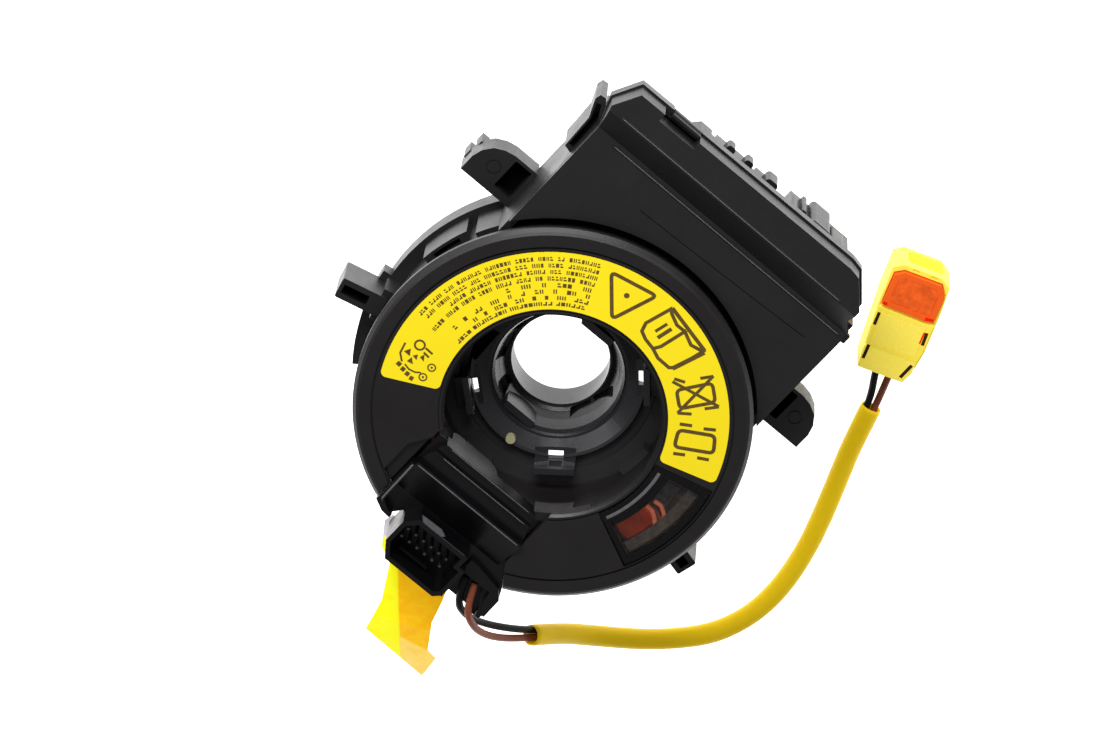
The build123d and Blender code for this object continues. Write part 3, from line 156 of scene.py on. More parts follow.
M = {}
M["case_plastic"] = moulded("case_plastic", (0.0072, 0.0068, 0.0078), 0.42, 0.08, 0.35, 0.014)
M["lid_plastic"] = moulded("lid_plastic", (0.0072, 0.0068, 0.0080), 0.47, 0.07, 0.22, 0.012)
M["rotor_plastic"] = moulded("rotor_plastic", (0.0072, 0.0058, 0.0058), 0.44, 0.07, 0.20, 0.010)
M["block_plastic"] = moulded("block_plastic", (0.0020, 0.0018, 0.0024), 0.32, 0.08, 0.40, 0.012, spec=0.42)
M["hub_plastic"] = moulded("hub_plastic", (0.021, 0.0195, 0.0235), 0.28, 0.08, 0.30, 0.012, 0.14)
M["natural_plastic"] = moulded("natural_plastic", (0.62, 0.60, 0.52), 0.38, 0.06, 0.3, 0.008)
M["red_plastic"] = moulded("red_plastic", (0.62, 0.055, 0.03), 0.35, 0.06, 0.3, 0.008)
# painted glow: cream_plastic, orange_plastic and sleeve_vinyl emit their own colour, brightening them as if lit by
# bounced light
M["cream_plastic"] = moulded("cream_plastic", (0.94, 0.77, 0.080), 0.50, 0.06, 0.25, 0.008, 0.04, spec=0.08, sss=0.04, painted_glow=0.14)
M["orange_plastic"] = moulded("orange_plastic", (0.92, 0.120, 0.012), 0.42, 0.06, 0.25, 0.008, 0.10, spec=0.18, painted_glow=0.05)
M["label_film"] = moulded("label_film", (0.95, 0.75, 0.010), 0.32, 0.05, 0.9, 0.004, 0.03, spec=0.35)
M["ribbon_film"] = moulded("ribbon_film", (0.60, 0.22, 0.14), 0.28, 0.05, 0.6, 0.004, 0.10)
M["sleeve_vinyl"] = moulded("sleeve_vinyl", (0.90, 0.60, 0.008), 0.38, 0.06, 0.7, 0.010, 0.07, spec=0.10, sss=0.08, painted_glow=0.10)
M["wire_black"] = moulded("wire_black", (0.007, 0.006, 0.008), 0.42, 0.06, 0.3, 0.006, spec=0.16)
M["wire_brown"] = moulded("wire_brown", (0.26, 0.070, 0.036), 0.42, 0.06, 0.3, 0.006, 0.12, spec=0.16)
M["tinned_metal"] = metal("tinned_metal", (0.78, 0.74, 0.62), 0.22)
M["peg_plastic"] = moulded("peg_plastic", (0.44, 0.42, 0.24), 0.45, 0.06, 0.3, 0.008, spec=0.3)
M["socket_metal"] = metal("socket_metal", (0.17, 0.16, 0.15), 0.40)
M["screw_steel"] = metal("screw_steel", (0.62, 0.62, 0.60), 0.28)
M["magnet_grey"] = moulded("magnet_grey", (0.10, 0.10, 0.105), 0.5, 0.08, 0.2, 0.01)
M["board_green"] = moulded("board_green", (0.02, 0.12, 0.045), 0.3, 0.05, 0.6, 0.006)
M["chip_black"] = moulded("chip_black", (0.02, 0.02, 0.02), 0.45, 0.05, 0.2, 0.008)


def film_material():
    """Yellow film: lemon on the side of the fold that lets light through, orange-yellow on the doubled side, paler end."""
    m, nt, b = new_mat("yellow_film")
    tc = nt.nodes.new("ShaderNodeTexCoord")
    sep = nt.nodes.new("ShaderNodeSeparateXYZ")
    nt.links.new(tc.outputs["Object"], sep.inputs["Vector"])

    def side(px, py, nx, ny, soft):
        """0 to 1 across the plan line through (px, py) with normal (nx, ny), in mm."""
        s1 = nt.nodes.new("ShaderNodeMath")
        s1.operation = "MULTIPLY"
        nt.links.new(sep.outputs["X"], s1.inputs[0])
        s1.inputs[1].default_value = nx * 1000.0
        s2 = nt.nodes.new("ShaderNodeMath")
        s2.operation = "MULTIPLY_ADD"
        nt.links.new(sep.outputs["Y"], s2.inputs[0])
        s2.inputs[1].default_value = ny * 1000.0
        nt.links.new(s1.outputs[0], s2.inputs[2])
        c = px * nx + py * ny
        return maprange(nt, s2.outputs[0], 0.0, 1.0, c - soft, c + soft)

    def blend(fac, c0, c1):
        mx = nt.nodes.new("ShaderNodeMix")
        mx.data_type = "RGBA"
        nt.links.new(fac, mx.inputs[0])
        for sock, c in ((mx.inputs[6], c0), (mx.inputs[7], c1)):
            if isinstance(c, tuple):
                sock.default_value = (*c, 1.0)
            else:
                nt.links.new(c, sock)
        return mx.outputs[2]

    crumple = noise(nt, 300.0, 4.0, 0.6)
    orange = ramp(nt, crumple, [(0.3, (0.90, 0.43, 0.004)), (0.7, (0.97, 0.56, 0.008))])
    lemon = ramp(nt, crumple, [(0.3, (0.93, 0.86, 0.006)), (0.7, (0.97, 0.97, 0.02))])
    pale = ramp(nt, crumple, [(0.3, (0.95, 0.60, 0.08)), (0.7, (0.98, 0.72, 0.16))])
    col = blend(side(-0.69, -59.38, 0.764, 0.645, 0.25), lemon, orange)
    end = side(13.6, -77.0, 0.158, -0.987, 0.4)
    right_part = side(-0.69, -59.38, 0.764, 0.645, 0.25)
    both = nt.nodes.new("ShaderNodeMath")
    both.operation = "MULTIPLY"
    nt.links.new(end, both.inputs[0])
    nt.links.new(right_part, both.inputs[1])
    col = blend(both.outputs[0], col, pale)
    # painted shade: a grey patch where the film lies in shade
    patch = side(-6.2, -53.2, -0.72, 0.69, 0.4)
    col = blend(patch, col, (0.62, 0.58, 0.66))
    nt.links.new(col, b.inputs["Base Color"])
    # painted glow: the film emits its own colour, standing in for light let through the film
    nt.links.new(col, b.inputs["Emission Color"])
    b.inputs["Emission Strength"].default_value = 0.50
    nt.links.new(maprange(nt, noise(nt, 200.0, 3.0), 0.30, 0.45), b.inputs["Roughness"])
    nt.links.new(bump(nt, noise(nt, 160.0, 2.0, 0.5), 0.10 * MM), b.inputs["Normal"])
    b.inputs["Specular IOR Level"].default_value = 0.10
    return m


def clear_material():
    """Clear insert: faint haze and fine scratches."""
    m, nt, b = new_mat("clear_insert")
    f = noise(nt, 260.0, 5.0, 0.7)
    nt.links.new(ramp(nt, f, [(0.35, (0.60, 0.57, 0.55)), (0.8, (0.46, 0.44, 0.43))]), b.inputs["Base Color"])
    nt.links.new(maprange(nt, noise(nt, 700.0, 4.0), 0.04, 0.16), b.inputs["Roughness"])
    nt.links.new(bump(nt, noise(nt, 900.0, 3.0), 0.002 * MM), b.inputs["Normal"])
    b.inputs["Transmission Weight"].default_value = 1.0
    b.inputs["Specular IOR Level"].default_value = 0.25
    b.inputs["IOR"].default_value = 1.45
    return m


M["yellow_film"] = film_material()
M["clear_insert"] = clear_material()

slot_of = {s["node"]: s["material_slot"] for s in frame["record"]["subparts"]}
for name, obj in nodes.items():
    mat = M[{"socket_pins": "socket_metal", "hub_peg": "peg_plastic"}.get(name, slot_of[name])]
    if obj.data.materials:
        for i in range(len(obj.data.materials)):
            obj.data.materials[i] = mat
    else:
        obj.data.materials.append(mat)


# ---------------------------------------------------------------------------
# mesh helpers
# ---------------------------------------------------------------------------
def make_piece(name, verts, faces, material, body, smooth=False):
    me = bpy.data.meshes.new(name)
    me.from_pydata([tuple(v) for v in verts], [], faces)
    me.validate()
    me.update()
    ob = bpy.data.objects.new(name, me)
    bpy.context.scene.collection.objects.link(ob)
    me.materials.append(M[material] if isinstance(material, str) else material)
    for p in me.polygons:
        p.use_smooth = smooth
    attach(ob, body)
    return ob


def pol(r, a, z=0.0):
    a = math.radians(a)
    return (r * MM * math.cos(a), r * MM * math.sin(a), z * MM)


def soften(names, width, segments=2, angle=32.0):
    """Small moulded radius on the sharp edges of CAD pieces."""
    for n in names:
        o = nodes[n]
        w = o.modifiers.new("weld", "WELD")
        w.merge_threshold = 0.000002
        b = o.modifiers.new("radius", "BEVEL")
        b.width = width * MM
        b.segments = segments
        b.limit_method = "ANGLE"
        b.angle_limit = math.radians(angle)
        b.use_clamp_overlap = True
        b.harden_normals = True

# route points of the lead, in metres
SLEEVE_ROUTE = [(0.04158, -0.05831, 0.02561),
    (0.04890, -0.05619, 0.01728),
    (0.05756, -0.05368, 0.01049),
    (0.06695, -0.04969, 0.00569),
    (0.07597, -0.04341, 0.00285),
    (0.08297, -0.03462, 0.00285),
    (0.08665, -0.02399, 0.00285),
    (0.08687, -0.01272, 0.00285),
    (0.08475, -0.00163, 0.00285),
    (0.08127, 0.00913, 0.00285),
    (0.07712, 0.01965, 0.00285),
    (0.07297, 0.03016, 0.00285),
    (0.06963, 0.04096, 0.00285)]
BLACK_ROUTE = [(0.01362, -0.04878, 0.04488),
    (0.01582, -0.05578, 0.04496),
    (0.02154, -0.05903, 0.04109),
    (0.02754, -0.05957, 0.03628),
    (0.03364, -0.05876, 0.03162),
    (0.03946, -0.05747, 0.02670),
    (0.04473, -0.05617, 0.02121),
    (0.05013, -0.05475, 0.01587),
    (0.05610, -0.05301, 0.01130),
    (0.06241, -0.05067, 0.00751),
    (0.06879, -0.04743, 0.00463),
    (0.07486, -0.04297, 0.00299),
    (0.08002, -0.03725, 0.00285),
    (0.08372, -0.03049, 0.00285),
    (0.08563, -0.02303, 0.00285),
    (0.08598, -0.01532, 0.00285),
    (0.08510, -0.00765, 0.00285),
    (0.08329, -0.00013, 0.00285),
    (0.08082, 0.00719, 0.00285),
    (0.07798, 0.01437, 0.00285),
    (0.07508, 0.02153, 0.00285),
    (0.07243, 0.02879, 0.00285),
    (0.07018, 0.03618, 0.00285),
    (0.06743, 0.04334, 0.00317),
    (0.06327, 0.04927, 0.00579),
    (0.05960, 0.05581, 0.00673)]
BROWN_ROUTE = [(0.01641, -0.04878, 0.04493),
    (0.01899, -0.05544, 0.04620),
    (0.02431, -0.05940, 0.04282),
    (0.02957, -0.06118, 0.03777),
    (0.03491, -0.06108, 0.03250),
    (0.04021, -0.05953, 0.02738),
    (0.04507, -0.05822, 0.02179),
    (0.05014, -0.05700, 0.01637),
    (0.05593, -0.05534, 0.01186),
    (0.06209, -0.05314, 0.00816),
    (0.06835, -0.05017, 0.00523),
    (0.07442, -0.04616, 0.00333),
    (0.07983, -0.04099, 0.00285),
    (0.08412, -0.03483, 0.00285),
    (0.08687, -0.02784, 0.00285),
    (0.08806, -0.02042, 0.00285),
    (0.08795, -0.01290, 0.00285),
    (0.08683, -0.00546, 0.00285),
    (0.08495, 0.00182, 0.00285),
    (0.08250, 0.00894, 0.00285),
    (0.07974, 0.01594, 0.00285),
    (0.07691, 0.02292, 0.00285),
    (0.07424, 0.02995, 0.00285),
    (0.07187, 0.03709, 0.00285),
    (0.06942, 0.04416, 0.00300),
    (0.06654, 0.05047, 0.00584),
    (0.06380, 0.05731, 0.00673)]


# ---------------------------------------------------------------------------
# lead: two wires through a soft sleeve
# ---------------------------------------------------------------------------
def spline_curve(name, points, bevel=0.0):
    cu = bpy.data.curves.new(name, "CURVE")
    cu.dimensions = "3D"
    sp = cu.splines.new("NURBS")
    sp.points.add(len(points) - 1)
    for p, c in zip(sp.points, points):
        p.co = (*c, 1.0)
    sp.order_u = 3
    sp.use_endpoint_u = True
    cu.resolution_u = 10
    cu.bevel_depth = bevel
    cu.bevel_resolution = 6
    cu.use_fill_caps = True
    ob = bpy.data.objects.new(name, cu)
    bpy.context.scene.collection.objects.link(ob)
    return ob


def line_of(points):
    """Points along a route's spline."""
    ob = spline_curve("route_tmp", points)
    bpy.context.view_layer.update()
    me = bpy.data.meshes.new_from_object(ob)
    pts = [v.co.copy() for v in me.vertices]
    bpy.data.meshes.remove(me)
    cu = ob.data
    bpy.data.objects.remove(ob)
    bpy.data.curves.remove(cu)
    return pts


def length_of(pts):
    return sum((b - a).length for a, b in zip(pts, pts[1:]))


def even(pts, step):
    total = length_of(pts)
    n = max(2, int(round(total / step)))
    out, i, run = [], 0, 0.0
    for k in range(n + 1):
        t = total * k / n
        while i < len(pts) - 2 and run + (pts[i + 1] - pts[i]).length < t:
            run += (pts[i + 1] - pts[i]).length
            i += 1
        seg = (pts[i + 1] - pts[i]).length
        f = 0.0 if seg == 0 else min(1.0, max(0.0, (t - run) / seg))
        out.append(pts[i].lerp(pts[i + 1], f))
    return out


def frames_along(pts):
    """Tangent, side and up at each point, carried along without twist."""
    out = []
    side = None
    for i, p in enumerate(pts):
        t = (pts[min(i + 1, len(pts) - 1)] - pts[max(i - 1, 0)]).normalized()
        if side is None:
            side = t.cross(Vector((0, 0, 1))).normalized()
        side = (side - t * side.dot(t)).normalized()
        out.append((p, t, side, side.cross(t).normalized()))
    return out


black = spline_curve("black_wire_cord", BLACK_ROUTE, 0.95 * MM)
black.data.materials.append(M["wire_black"])
brown = spline_curve("brown_wire_cord", BROWN_ROUTE, 0.95 * MM)
brown.data.materials.append(M["wire_brown"])
for ob, node in ((black, "black_wire"), (brown, "brown_wire")):
    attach(ob, "rotor")
    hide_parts(node)
black_len = length_of(line_of(BLACK_ROUTE))
brown_len = length_of(line_of(BROWN_ROUTE))
sleeve_line = line_of(SLEEVE_ROUTE)

# sleeve: thin vinyl tube, slightly lumpy and out of round along its length, with rolled cut ends
ring_n = 40
path = even(sleeve_line, 0.0011)
fr = frames_along(path)
rng = random.Random(5)
verts, faces = [], []
n_ring = len(fr)


def sleeve_ring(i, inner):
    p, t, s, u = fr[i]
    a_along = i / (n_ring - 1)
    cut = min(i, n_ring - 1 - i) * 0.0011
    base = 2.4 if inner else 2.8
    if cut < 0.0006 and not inner:
        base -= 0.12
    row = []
    for k in range(ring_n):
        th = 2 * math.pi * k / ring_n
        lump = 0.0
        if not inner:
            lump = (0.030 * math.sin(3 * th + 9.0 * a_along) + 0.022 * math.sin(2 * th - 31.0 * a_along)
                    + 0.018 * math.sin(47.0 * a_along + th))
            lump = min(0.0, lump - 0.03)
        r = (base + lump) * MM
        row.append(p + s * (math.cos(th) * r) + u * (math.sin(th) * r))
    return row


for i in range(n_ring):
    verts.extend(sleeve_ring(i, False))
off = len(verts)
for i in range(n_ring):
    verts.extend(sleeve_ring(i, True))
for i in range(n_ring - 1):
    for k in range(ring_n):
        a, b = i * ring_n + k, i * ring_n + (k + 1) % ring_n
        c, d = a + ring_n, b + ring_n
        faces.append((a, b, d, c))
        faces.append((off + a, off + c, off + d, off + b))
for k in range(ring_n):
    a, b = k, (k + 1) % ring_n
    faces.append((a, off + a, off + b, b))
    a2, b2 = (n_ring - 1) * ring_n + k, (n_ring - 1) * ring_n + (k + 1) % ring_n
    faces.append((a2, b2, off + b2, off + a2))
sleeve = make_piece("sleeve_tube", verts, faces, "sleeve_vinyl", "rotor", True)
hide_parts("lead_sleeve")


# ---------------------------------------------------------------------------
# plain print on the label: bars and simple outline shapes
# ---------------------------------------------------------------------------
ink, int_, ib = new_mat("label_ink")
int_.links.new(ramp(int_, noise(int_, 700.0, 3.0), [(0.3, (0.088, 0.050, 0.010)), (0.7, (0.125, 0.075, 0.014))]),
               ib.inputs["Base Color"])
int_.links.new(maprange(int_, noise(int_, 400.0, 3.0), 0.28, 0.42), ib.inputs["Roughness"])
INK_Z0, INK_Z1 = 47.562, 47.585
ink_v, ink_f = [], []
ink_level = [0]


def ink_prism(loop):
    """A thin raised patch from a closed loop of plan points in mm."""
    n = len(loop)
    area = sum(loop[i][0] * loop[(i + 1) % n][1] - loop[(i + 1) % n][0] * loop[i][1] for i in range(n))
    if area < 0:
        loop = list(reversed(loop))
    b = len(ink_v)
    ink_v.extend((x * MM, y * MM, INK_Z0 * MM) for x, y in loop)
    top = INK_Z1 + 0.0012 * ink_level[0]
    ink_v.extend((x * MM, y * MM, top * MM) for x, y in loop)
    ink_f.append(tuple(b + n + i for i in range(n)))
    ink_f.append(tuple(b + n - 1 - i for i in range(n)))
    for i in range(n):
        j = (i + 1) % n
        ink_f.append((b + i, b + j, b + n + j, b + n + i))


def xy(r, a):
    a = math.radians(a)
    return (r * math.cos(a), r * math.sin(a))


def arc_bar(r, a0, a1, w):
    steps = max(2, int(abs(a1 - a0) / 1.5) + 1)
    outer = [xy(r + w / 2, a0 + (a1 - a0) * i / steps) for i in range(steps + 1)]
    inner = [xy(r - w / 2, a1 + (a0 - a1) * i / steps) for i in range(steps + 1)]
    ink_prism(outer + inner)


def stroke(points, w, closed=True):
    """Outline of even width along a polygon, mitred at its corners."""
    ink_level[0] += 1
    n = len(points)
    segs = n if closed else n - 1

    def corner(i, s):
        p = Vector(points[i % n])
        if not closed and i in (0, n - 1):
            d = (Vector(points[1]) - p) if i == 0 else (p - Vector(points[-2]))
            d.normalize()
            return p + Vector((-d.y, d.x)) * s
        d0 = (p - Vector(points[(i - 1) % n])).normalized()
        d1 = (Vector(points[(i + 1) % n]) - p).normalized()
        nrm = Vector((-d0.y, d0.x)) + Vector((-d1.y, d1.x))
        nrm.normalize()
        k = max(0.35, nrm.dot(Vector((-d0.y, d0.x))))
        return p + nrm * (s / k)

    for i in range(segs):
        a, b = corner(i, w / 2), corner(i, -w / 2)
        c, d = corner((i + 1) % n if closed else i + 1, -w / 2), corner((i + 1) % n if closed else i + 1, w / 2)
        ink_prism([tuple(a), tuple(b), tuple(c), tuple(d)])


def local(cr, ca, turn, pts, k=1.0):
    """Points of a small drawing set at polar place (cr, ca), turned by turn degrees from the outward direction."""
    cx, cy = xy(cr, ca)
    t = math.radians(ca + turn)
    ux, uy = math.cos(t), math.sin(t)
    return [(cx + k * (p[0] * ux - p[1] * uy), cy + k * (p[0] * uy + p[1] * ux)) for p in pts]


def round_poly(points, radius, steps=4):
    n = len(points)
    out = []
    for i in range(n):
        p = Vector(points[i])
        a = (Vector(points[i - 1]) - p).normalized()
        b = (Vector(points[(i + 1) % n]) - p).normalized()
        for k in range(steps + 1):
            f = k / steps
            q = p + a * radius * (1 - f) ** 2 + b * radius * f ** 2
            out.append((q.x, q.y))
    return out


# rows of short bars in the long left part of the label
rows = random.Random(11)


def tick(r, a, w, h, kind):
    """One small mark of a row: w wide along the row, h tall; kind picks a simple block shape."""
    da = math.degrees(w / r)
    if kind == 0:
        arc_bar(r, a, a + da, h)
    elif kind == 1:
        arc_bar(r, a, a + da * 0.36, h)
        arc_bar(r, a + da * 0.64, a + da, h)
    elif kind == 2:
        arc_bar(r - h * 0.30, a, a + da, h * 0.36)
        arc_bar(r + h * 0.32, a + da * 0.3, a + da, h * 0.34)
    else:
        arc_bar(r, a, a + da * 0.4, h)
        arc_bar(r - h * 0.3, a + da * 0.4, a + da, h * 0.38)


for k, (r, a0, a1, h, gap) in enumerate(((42.25, 114.6, 182.0, 1.10, 1.0), (40.5, 114.5, 181.0, 1.10, 1.0),
                                         (38.8, 114.4, 171.0, 1.10, 1.0), (37.05, 114.6, 182.5, 1.15, 1.0),
                                         (35.3, 115.2, 150.0, 1.15, 2.6), (33.6, 115.0, 177.0, 1.15, 2.2),
                                         (31.95, 114.8, 171.0, 1.10, 1.9), (30.35, 115.6, 180.5, 1.05, 0.7))):
    a = a0
    while a < a1:
        count = rows.choice((2, 3, 4, 4, 5, 6, 7, 8)) if k < 4 else rows.choice((1, 1, 2, 3)) if k < 7 else rows.choice((6, 8, 9))
        for i in range(count):
            if a > a1:
                break
            w = rows.uniform(0.62, 0.84) if k < 4 else rows.uniform(0.85, 1.05)
            tick(r, a, w, h * rows.uniform(0.92, 1.0), rows.choice((0, 1, 1, 2, 3)))
            a += math.degrees((w + 0.27) / r)
        a += math.degrees(gap / r)

# first mark: rounded triangle outline with a dot at its middle
W = 0.95
stroke(round_poly([(-14.68, 39.07), (-2.2, 41.83), (-6.35, 29.76)], 1.5), W)
ink_prism([(-7.75 + 0.72 * math.cos(t * math.pi / 8), 36.9 + 0.72 * math.sin(t * math.pi / 8)) for t in range(16)])
# second mark: two leaves side by side with a heavy back
stroke([(2.63, 41.56), (0.55, 34.61), (1.24, 32.34), (3.29, 31.32), (6.34, 30.66), (7.44, 32.39), (9.16, 39.39),
        (6.55, 39.36), (3.7, 40.73)], 0.9)
stroke([(6.34, 30.66), (8.94, 29.58), (12.64, 29.5), (13.92, 30.67), (15.99, 38.38), (12.65, 37.69), (9.16, 39.39),
        (7.44, 32.39)], 0.9)
stroke([(2.73, 42.01), (16.27, 38.82)], 1.0, False)
stroke([(13.45, 29.88), (16.44, 38.43)], 1.2, False)
stroke([(5.3, 33.6), (6.26, 37.7)], 1.0, False)
stroke([(3.75, 34.5), (4.6, 38.0)], 0.8, False)
# third mark: a block crossed out by two lines
stroke(round_poly([(18.06, 26.18), (23.33, 33.63), (27.36, 30.29), (21.98, 22.99)], 1.3), 0.9)
stroke([(15.77, 27.26), (28.76, 29.99)], 0.8, False)
stroke([(22.28, 35.22), (22.35, 21.75)], 0.8, False)
for p, q in (((15.6, 28.13), (18.22, 29.25)), ((20.3, 32.57), (22.32, 35.18)), ((26.55, 27.17), (28.81, 29.93)),
             ((22.35, 21.75), (25.11, 23.91))):
    stroke([p, q], 0.8, False)
# fourth mark: a rounded block with short bars beside it
stroke(round_poly([(25.57, 18.52), (33.36, 23.41), (36.2, 19.59), (27.81, 14.34)], 1.3), 0.95)
for p, q in (((24.71, 19.91), (27.3, 21.62)), ((29.95, 22.94), (32.44, 24.74)), ((28.81, 12.83), (31.27, 14.52)),
             ((33.98, 15.97), (36.55, 17.51))):
    stroke([p, q], 0.85, False)


# small marks at the left end: ring, bars, wedges and a curved line
def circle(cx, cy, r, n=20):
    return [(cx + r * math.cos(t * 2 * math.pi / n), cy + r * math.sin(t * 2 * math.pi / n)) for t in range(n)]


stroke(circle(-36.91, -7.56, 1.25), 0.5)
stroke([(-35.3, -7.2), (-33.0, -7.3)], 0.55, False)
stroke([(-34.9, -8.4), (-33.1, -8.6)], 0.55, False)
for wedge in ([(-38.8, -11.47), (-37.95, -9.79), (-36.83, -11.49)], [(-34.82, -10.02), (-34.41, -8.7), (-33.29, -10.3)],
              [(-36.51, -13.02), (-36.29, -11.36), (-34.88, -12.63)], [(-36.4, -10.9), (-35.6, -9.8), (-34.9, -11.2)]):
    ink_prism(wedge)
stroke([(-36.35, -13.97), (-34.74, -14.33), (-33.12, -13.94), (-31.92, -13.03)], 0.42, False)
stroke([(-40.0, -9.5), (-39.2, -12.4), (-37.4, -13.9)], 0.5, False)
for p, q in (((-38.1, -14.9), (-36.9, -14.9)), ((-36.4, -15.3), (-35.3, -15.3)), ((-34.8, -15.6), (-33.7, -15.5)),
             ((-33.2, -15.9), (-32.2, -15.7))):
    stroke([p, q], 1.15, False)
for cx, cy in ((-30.8, -10.21), (-30.77, -13.62)):
    stroke(circle(cx, cy, 0.95), 0.34)
    ink_prism(circle(cx, cy, 0.3, 10))
print_piece = make_piece("label_print", ink_v, ink_f, ink, "rotor")


# ---------------------------------------------------------------------------
# small visual details
# ---------------------------------------------------------------------------
def plain(name, color, rough=0.5, spec=0.3, painted_glow=0.0, scale=900.0, var=0.15):
    """Small-part material: mottled colour, uneven gloss, fine surface grain."""
    m, nt, b = new_mat(name)
    f = noise(nt, scale, 4.0, 0.6)
    col = ramp(nt, f, [(0.32, tint(color, 1 - var)), (0.68, tint(color, 1 + var))])
    nt.links.new(col, b.inputs["Base Color"])
    nt.links.new(maprange(nt, noise(nt, 500.0, 3.0), rough - 0.06, rough + 0.06), b.inputs["Roughness"])
    nt.links.new(bump(nt, noise(nt, 2600.0, 2.0), 0.006 * MM), b.inputs["Normal"])
    b.inputs["Specular IOR Level"].default_value = spec
    # painted glow: the base colour is emitted, so the part looks brighter as if lit, though it is no lamp
    if painted_glow:
        nt.links.new(col, b.inputs["Emission Color"])
        b.inputs["Emission Strength"].default_value = painted_glow
    return m


deep = plain("deep_shadow", (0.0018, 0.0016, 0.0016), 0.7, 0.05)
# painted shade: dark brown for the latch slot openings
slot_shade_brown = plain("slot_shade_brown", (0.040, 0.018, 0.003), 0.6, 0.1)
# painted glow: signal_red, window_orange and window_pink emit their own colour, brightening them as if lit
signal_red = plain("signal_red", (0.95, 0.012, 0.002), 0.5, 0.08, 0.10)
# painted highlight: light grey for the thin beads and rim lines that stand in for light caught on edges
edge_highlight_grey = plain("edge_highlight_grey", (0.11, 0.105, 0.115), 0.30, 0.5)
window_orange = plain("window_orange", (0.95, 0.075, 0.010), 0.45, 0.1, 0.12, 260.0, 0.45)
window_pink = plain("window_pink", (0.98, 0.26, 0.14), 0.35, 0.2, 0.42)
window_blue = plain("window_haze", (0.15, 0.14, 0.16), 0.6, 0.1, 0.0, 700.0, 0.30)
window_warm = plain("window_strip", (0.27, 0.235, 0.19), 0.6, 0.1, 0.0, 700.0, 0.30)


def plate(name, outline, z0, z1, material, body, bevel=0.06, inner=None):
    """Thin plate with a small chamfer round its top edge. Outline in plan mm."""
    n = len(outline)
    area = sum(outline[i][0] * outline[(i + 1) % n][1] - outline[(i + 1) % n][0] * outline[i][1] for i in range(n))
    if area < 0:
        outline = list(reversed(outline))
    top = []
    for i in range(n):
        p = Vector(outline[i])
        d0 = (p - Vector(outline[i - 1])).normalized()
        d1 = (Vector(outline[(i + 1) % n]) - p).normalized()
        nrm = Vector((-d0.y, d0.x)) + Vector((-d1.y, d1.x))
        nrm.normalize()
        k = max(0.45, nrm.dot(Vector((-d0.y, d0.x))))
        top.append(p + nrm * (bevel / k))
    zb = z1 - min(bevel, (z1 - z0) * 0.5)
    v = [(x * MM, y * MM, z0 * MM) for x, y in outline]
    v += [(x * MM, y * MM, zb * MM) for x, y in outline]
    v += [(p.x * MM, p.y * MM, z1 * MM) for p in top]
    f = [tuple(reversed(range(n))), tuple(2 * n + i for i in range(n))]
    for i in range(n):
        j = (i + 1) % n
        f.append((i, j, n + j, n + i))
        f.append((n + i, n + j, 2 * n + j, 2 * n + i))
    return make_piece(name, v, f, material, body)


def band(r0, r1, a0, a1, steps=14):
    return ([xy(r1, a0 + (a1 - a0) * i / steps) for i in range(steps + 1)]
            + [xy(r0, a1 + (a0 - a1) * i / steps) for i in range(steps + 1)])


def ribbon(points, w):
    """Outline of an open strip of even width along plan points."""
    left, right = [], []
    n = len(points)
    for i in range(n):
        p = Vector(points[i])
        d = (Vector(points[min(i + 1, n - 1)]) - Vector(points[max(i - 1, 0)])).normalized()
        nrm = Vector((-d.y, d.x)) * (w / 2)
        left.append(tuple(p + nrm))
        right.append(tuple(p - nrm))
    return left + list(reversed(right))


# painted shade: dark sheets on the floor and walls of the two ear pockets, where shade falls
def tray(name, cx, cy, w, h, z0, z1, t, material, body):
    def loop(k, z):
        a, b, c = w / 2 - k, h / 2 - k, 0.9
        pts = [(a - c, -b), (a - c * 0.3, -b + c * 0.3), (a, -b + c), (a, b - c), (a - c * 0.3, b - c * 0.3), (a - c, b),
               (-a + c, b), (-a + c * 0.3, b - c * 0.3), (-a, b - c), (-a, -b + c), (-a + c * 0.3, -b + c * 0.3), (-a + c, -b)]
        return [((cx + x) * MM, (cy + y) * MM, z * MM) for x, y in pts]
    loops = [loop(0, z0), loop(0, z1), loop(t, z1), loop(t, z0 + t)]
    n = 12
    v = [p for lp in loops for p in lp]
    f = [tuple(reversed(range(n))), tuple(3 * n + i for i in range(n))]
    for k in range(3):
        for i in range(n):
            j = (i + 1) % n
            f.append((k * n + i, k * n + j, (k + 1) * n + j, (k + 1) * n + i))
    return make_piece(name, v, f, material, body)


for side, sx in (("left", -44.4), ("right", 44.4)):
    tray("ear_pocket_shade_" + side, sx, 34.4, 5.12, 8.52, 21.62, 25.6, 0.12, deep, "stator")


# painted shade: dark sheets at the two posts, where shade falls
for side, r, w, ang in (("left", 56.3, 6.9, -166.0), ("right", 55.1, 4.5, -14.0)):
    shade_sheet = tray("post_shade_sheet_" + side, r, 0.0, w, 2.5, 22.3, 32.3, 0.10, deep, "stator")
    shade_sheet.data.transform(Matrix.Rotation(math.radians(ang), 4, "Z"))

# plug: flush panel and cap face, latch slots
PX = Vector((0.938, 0.347))
PY = Vector((-0.347, 0.938))


def plug(points):
    return [tuple(Vector((62.5, 52.0)) + PX * x + PY * y) for x, y in points]


# painted glow: the cream faces and the cap face emit their own colour to look brighter; the ramp's copy glows more,
# painting out the shade where it tilts away from the light
cream_face = plain("cream_face", (0.94, 0.76, 0.095), 0.50, 0.08, 0.17, 1300.0, 0.05)
cream_ramp_brightened = plain("cream_ramp_brightened", (0.94, 0.76, 0.095), 0.50, 0.08, 0.30, 1300.0, 0.05)
cap_face = plain("cap_face", (0.90, 0.115, 0.014), 0.40, 0.15, 0.06, 420.0, 0.22)
plate("plug_panel", plug([(-5.37, 7.73), (5.97, 7.73), (6.27, 9.9), (6.07, 16.47), (-5.97, 16.47), (-5.57, 9.4)]),
      12.42, 13.06, cream_face, "rotor", 0.12)
plate("plug_cap_face", plug([(-5.57, 19.93), (5.47, 19.93), (5.47, 25.58), (4.18, 27.37), (-3.98, 27.37), (-5.57, 26.18)]),
      12.83, 13.44, cap_face, "lock_cap", 0.12)
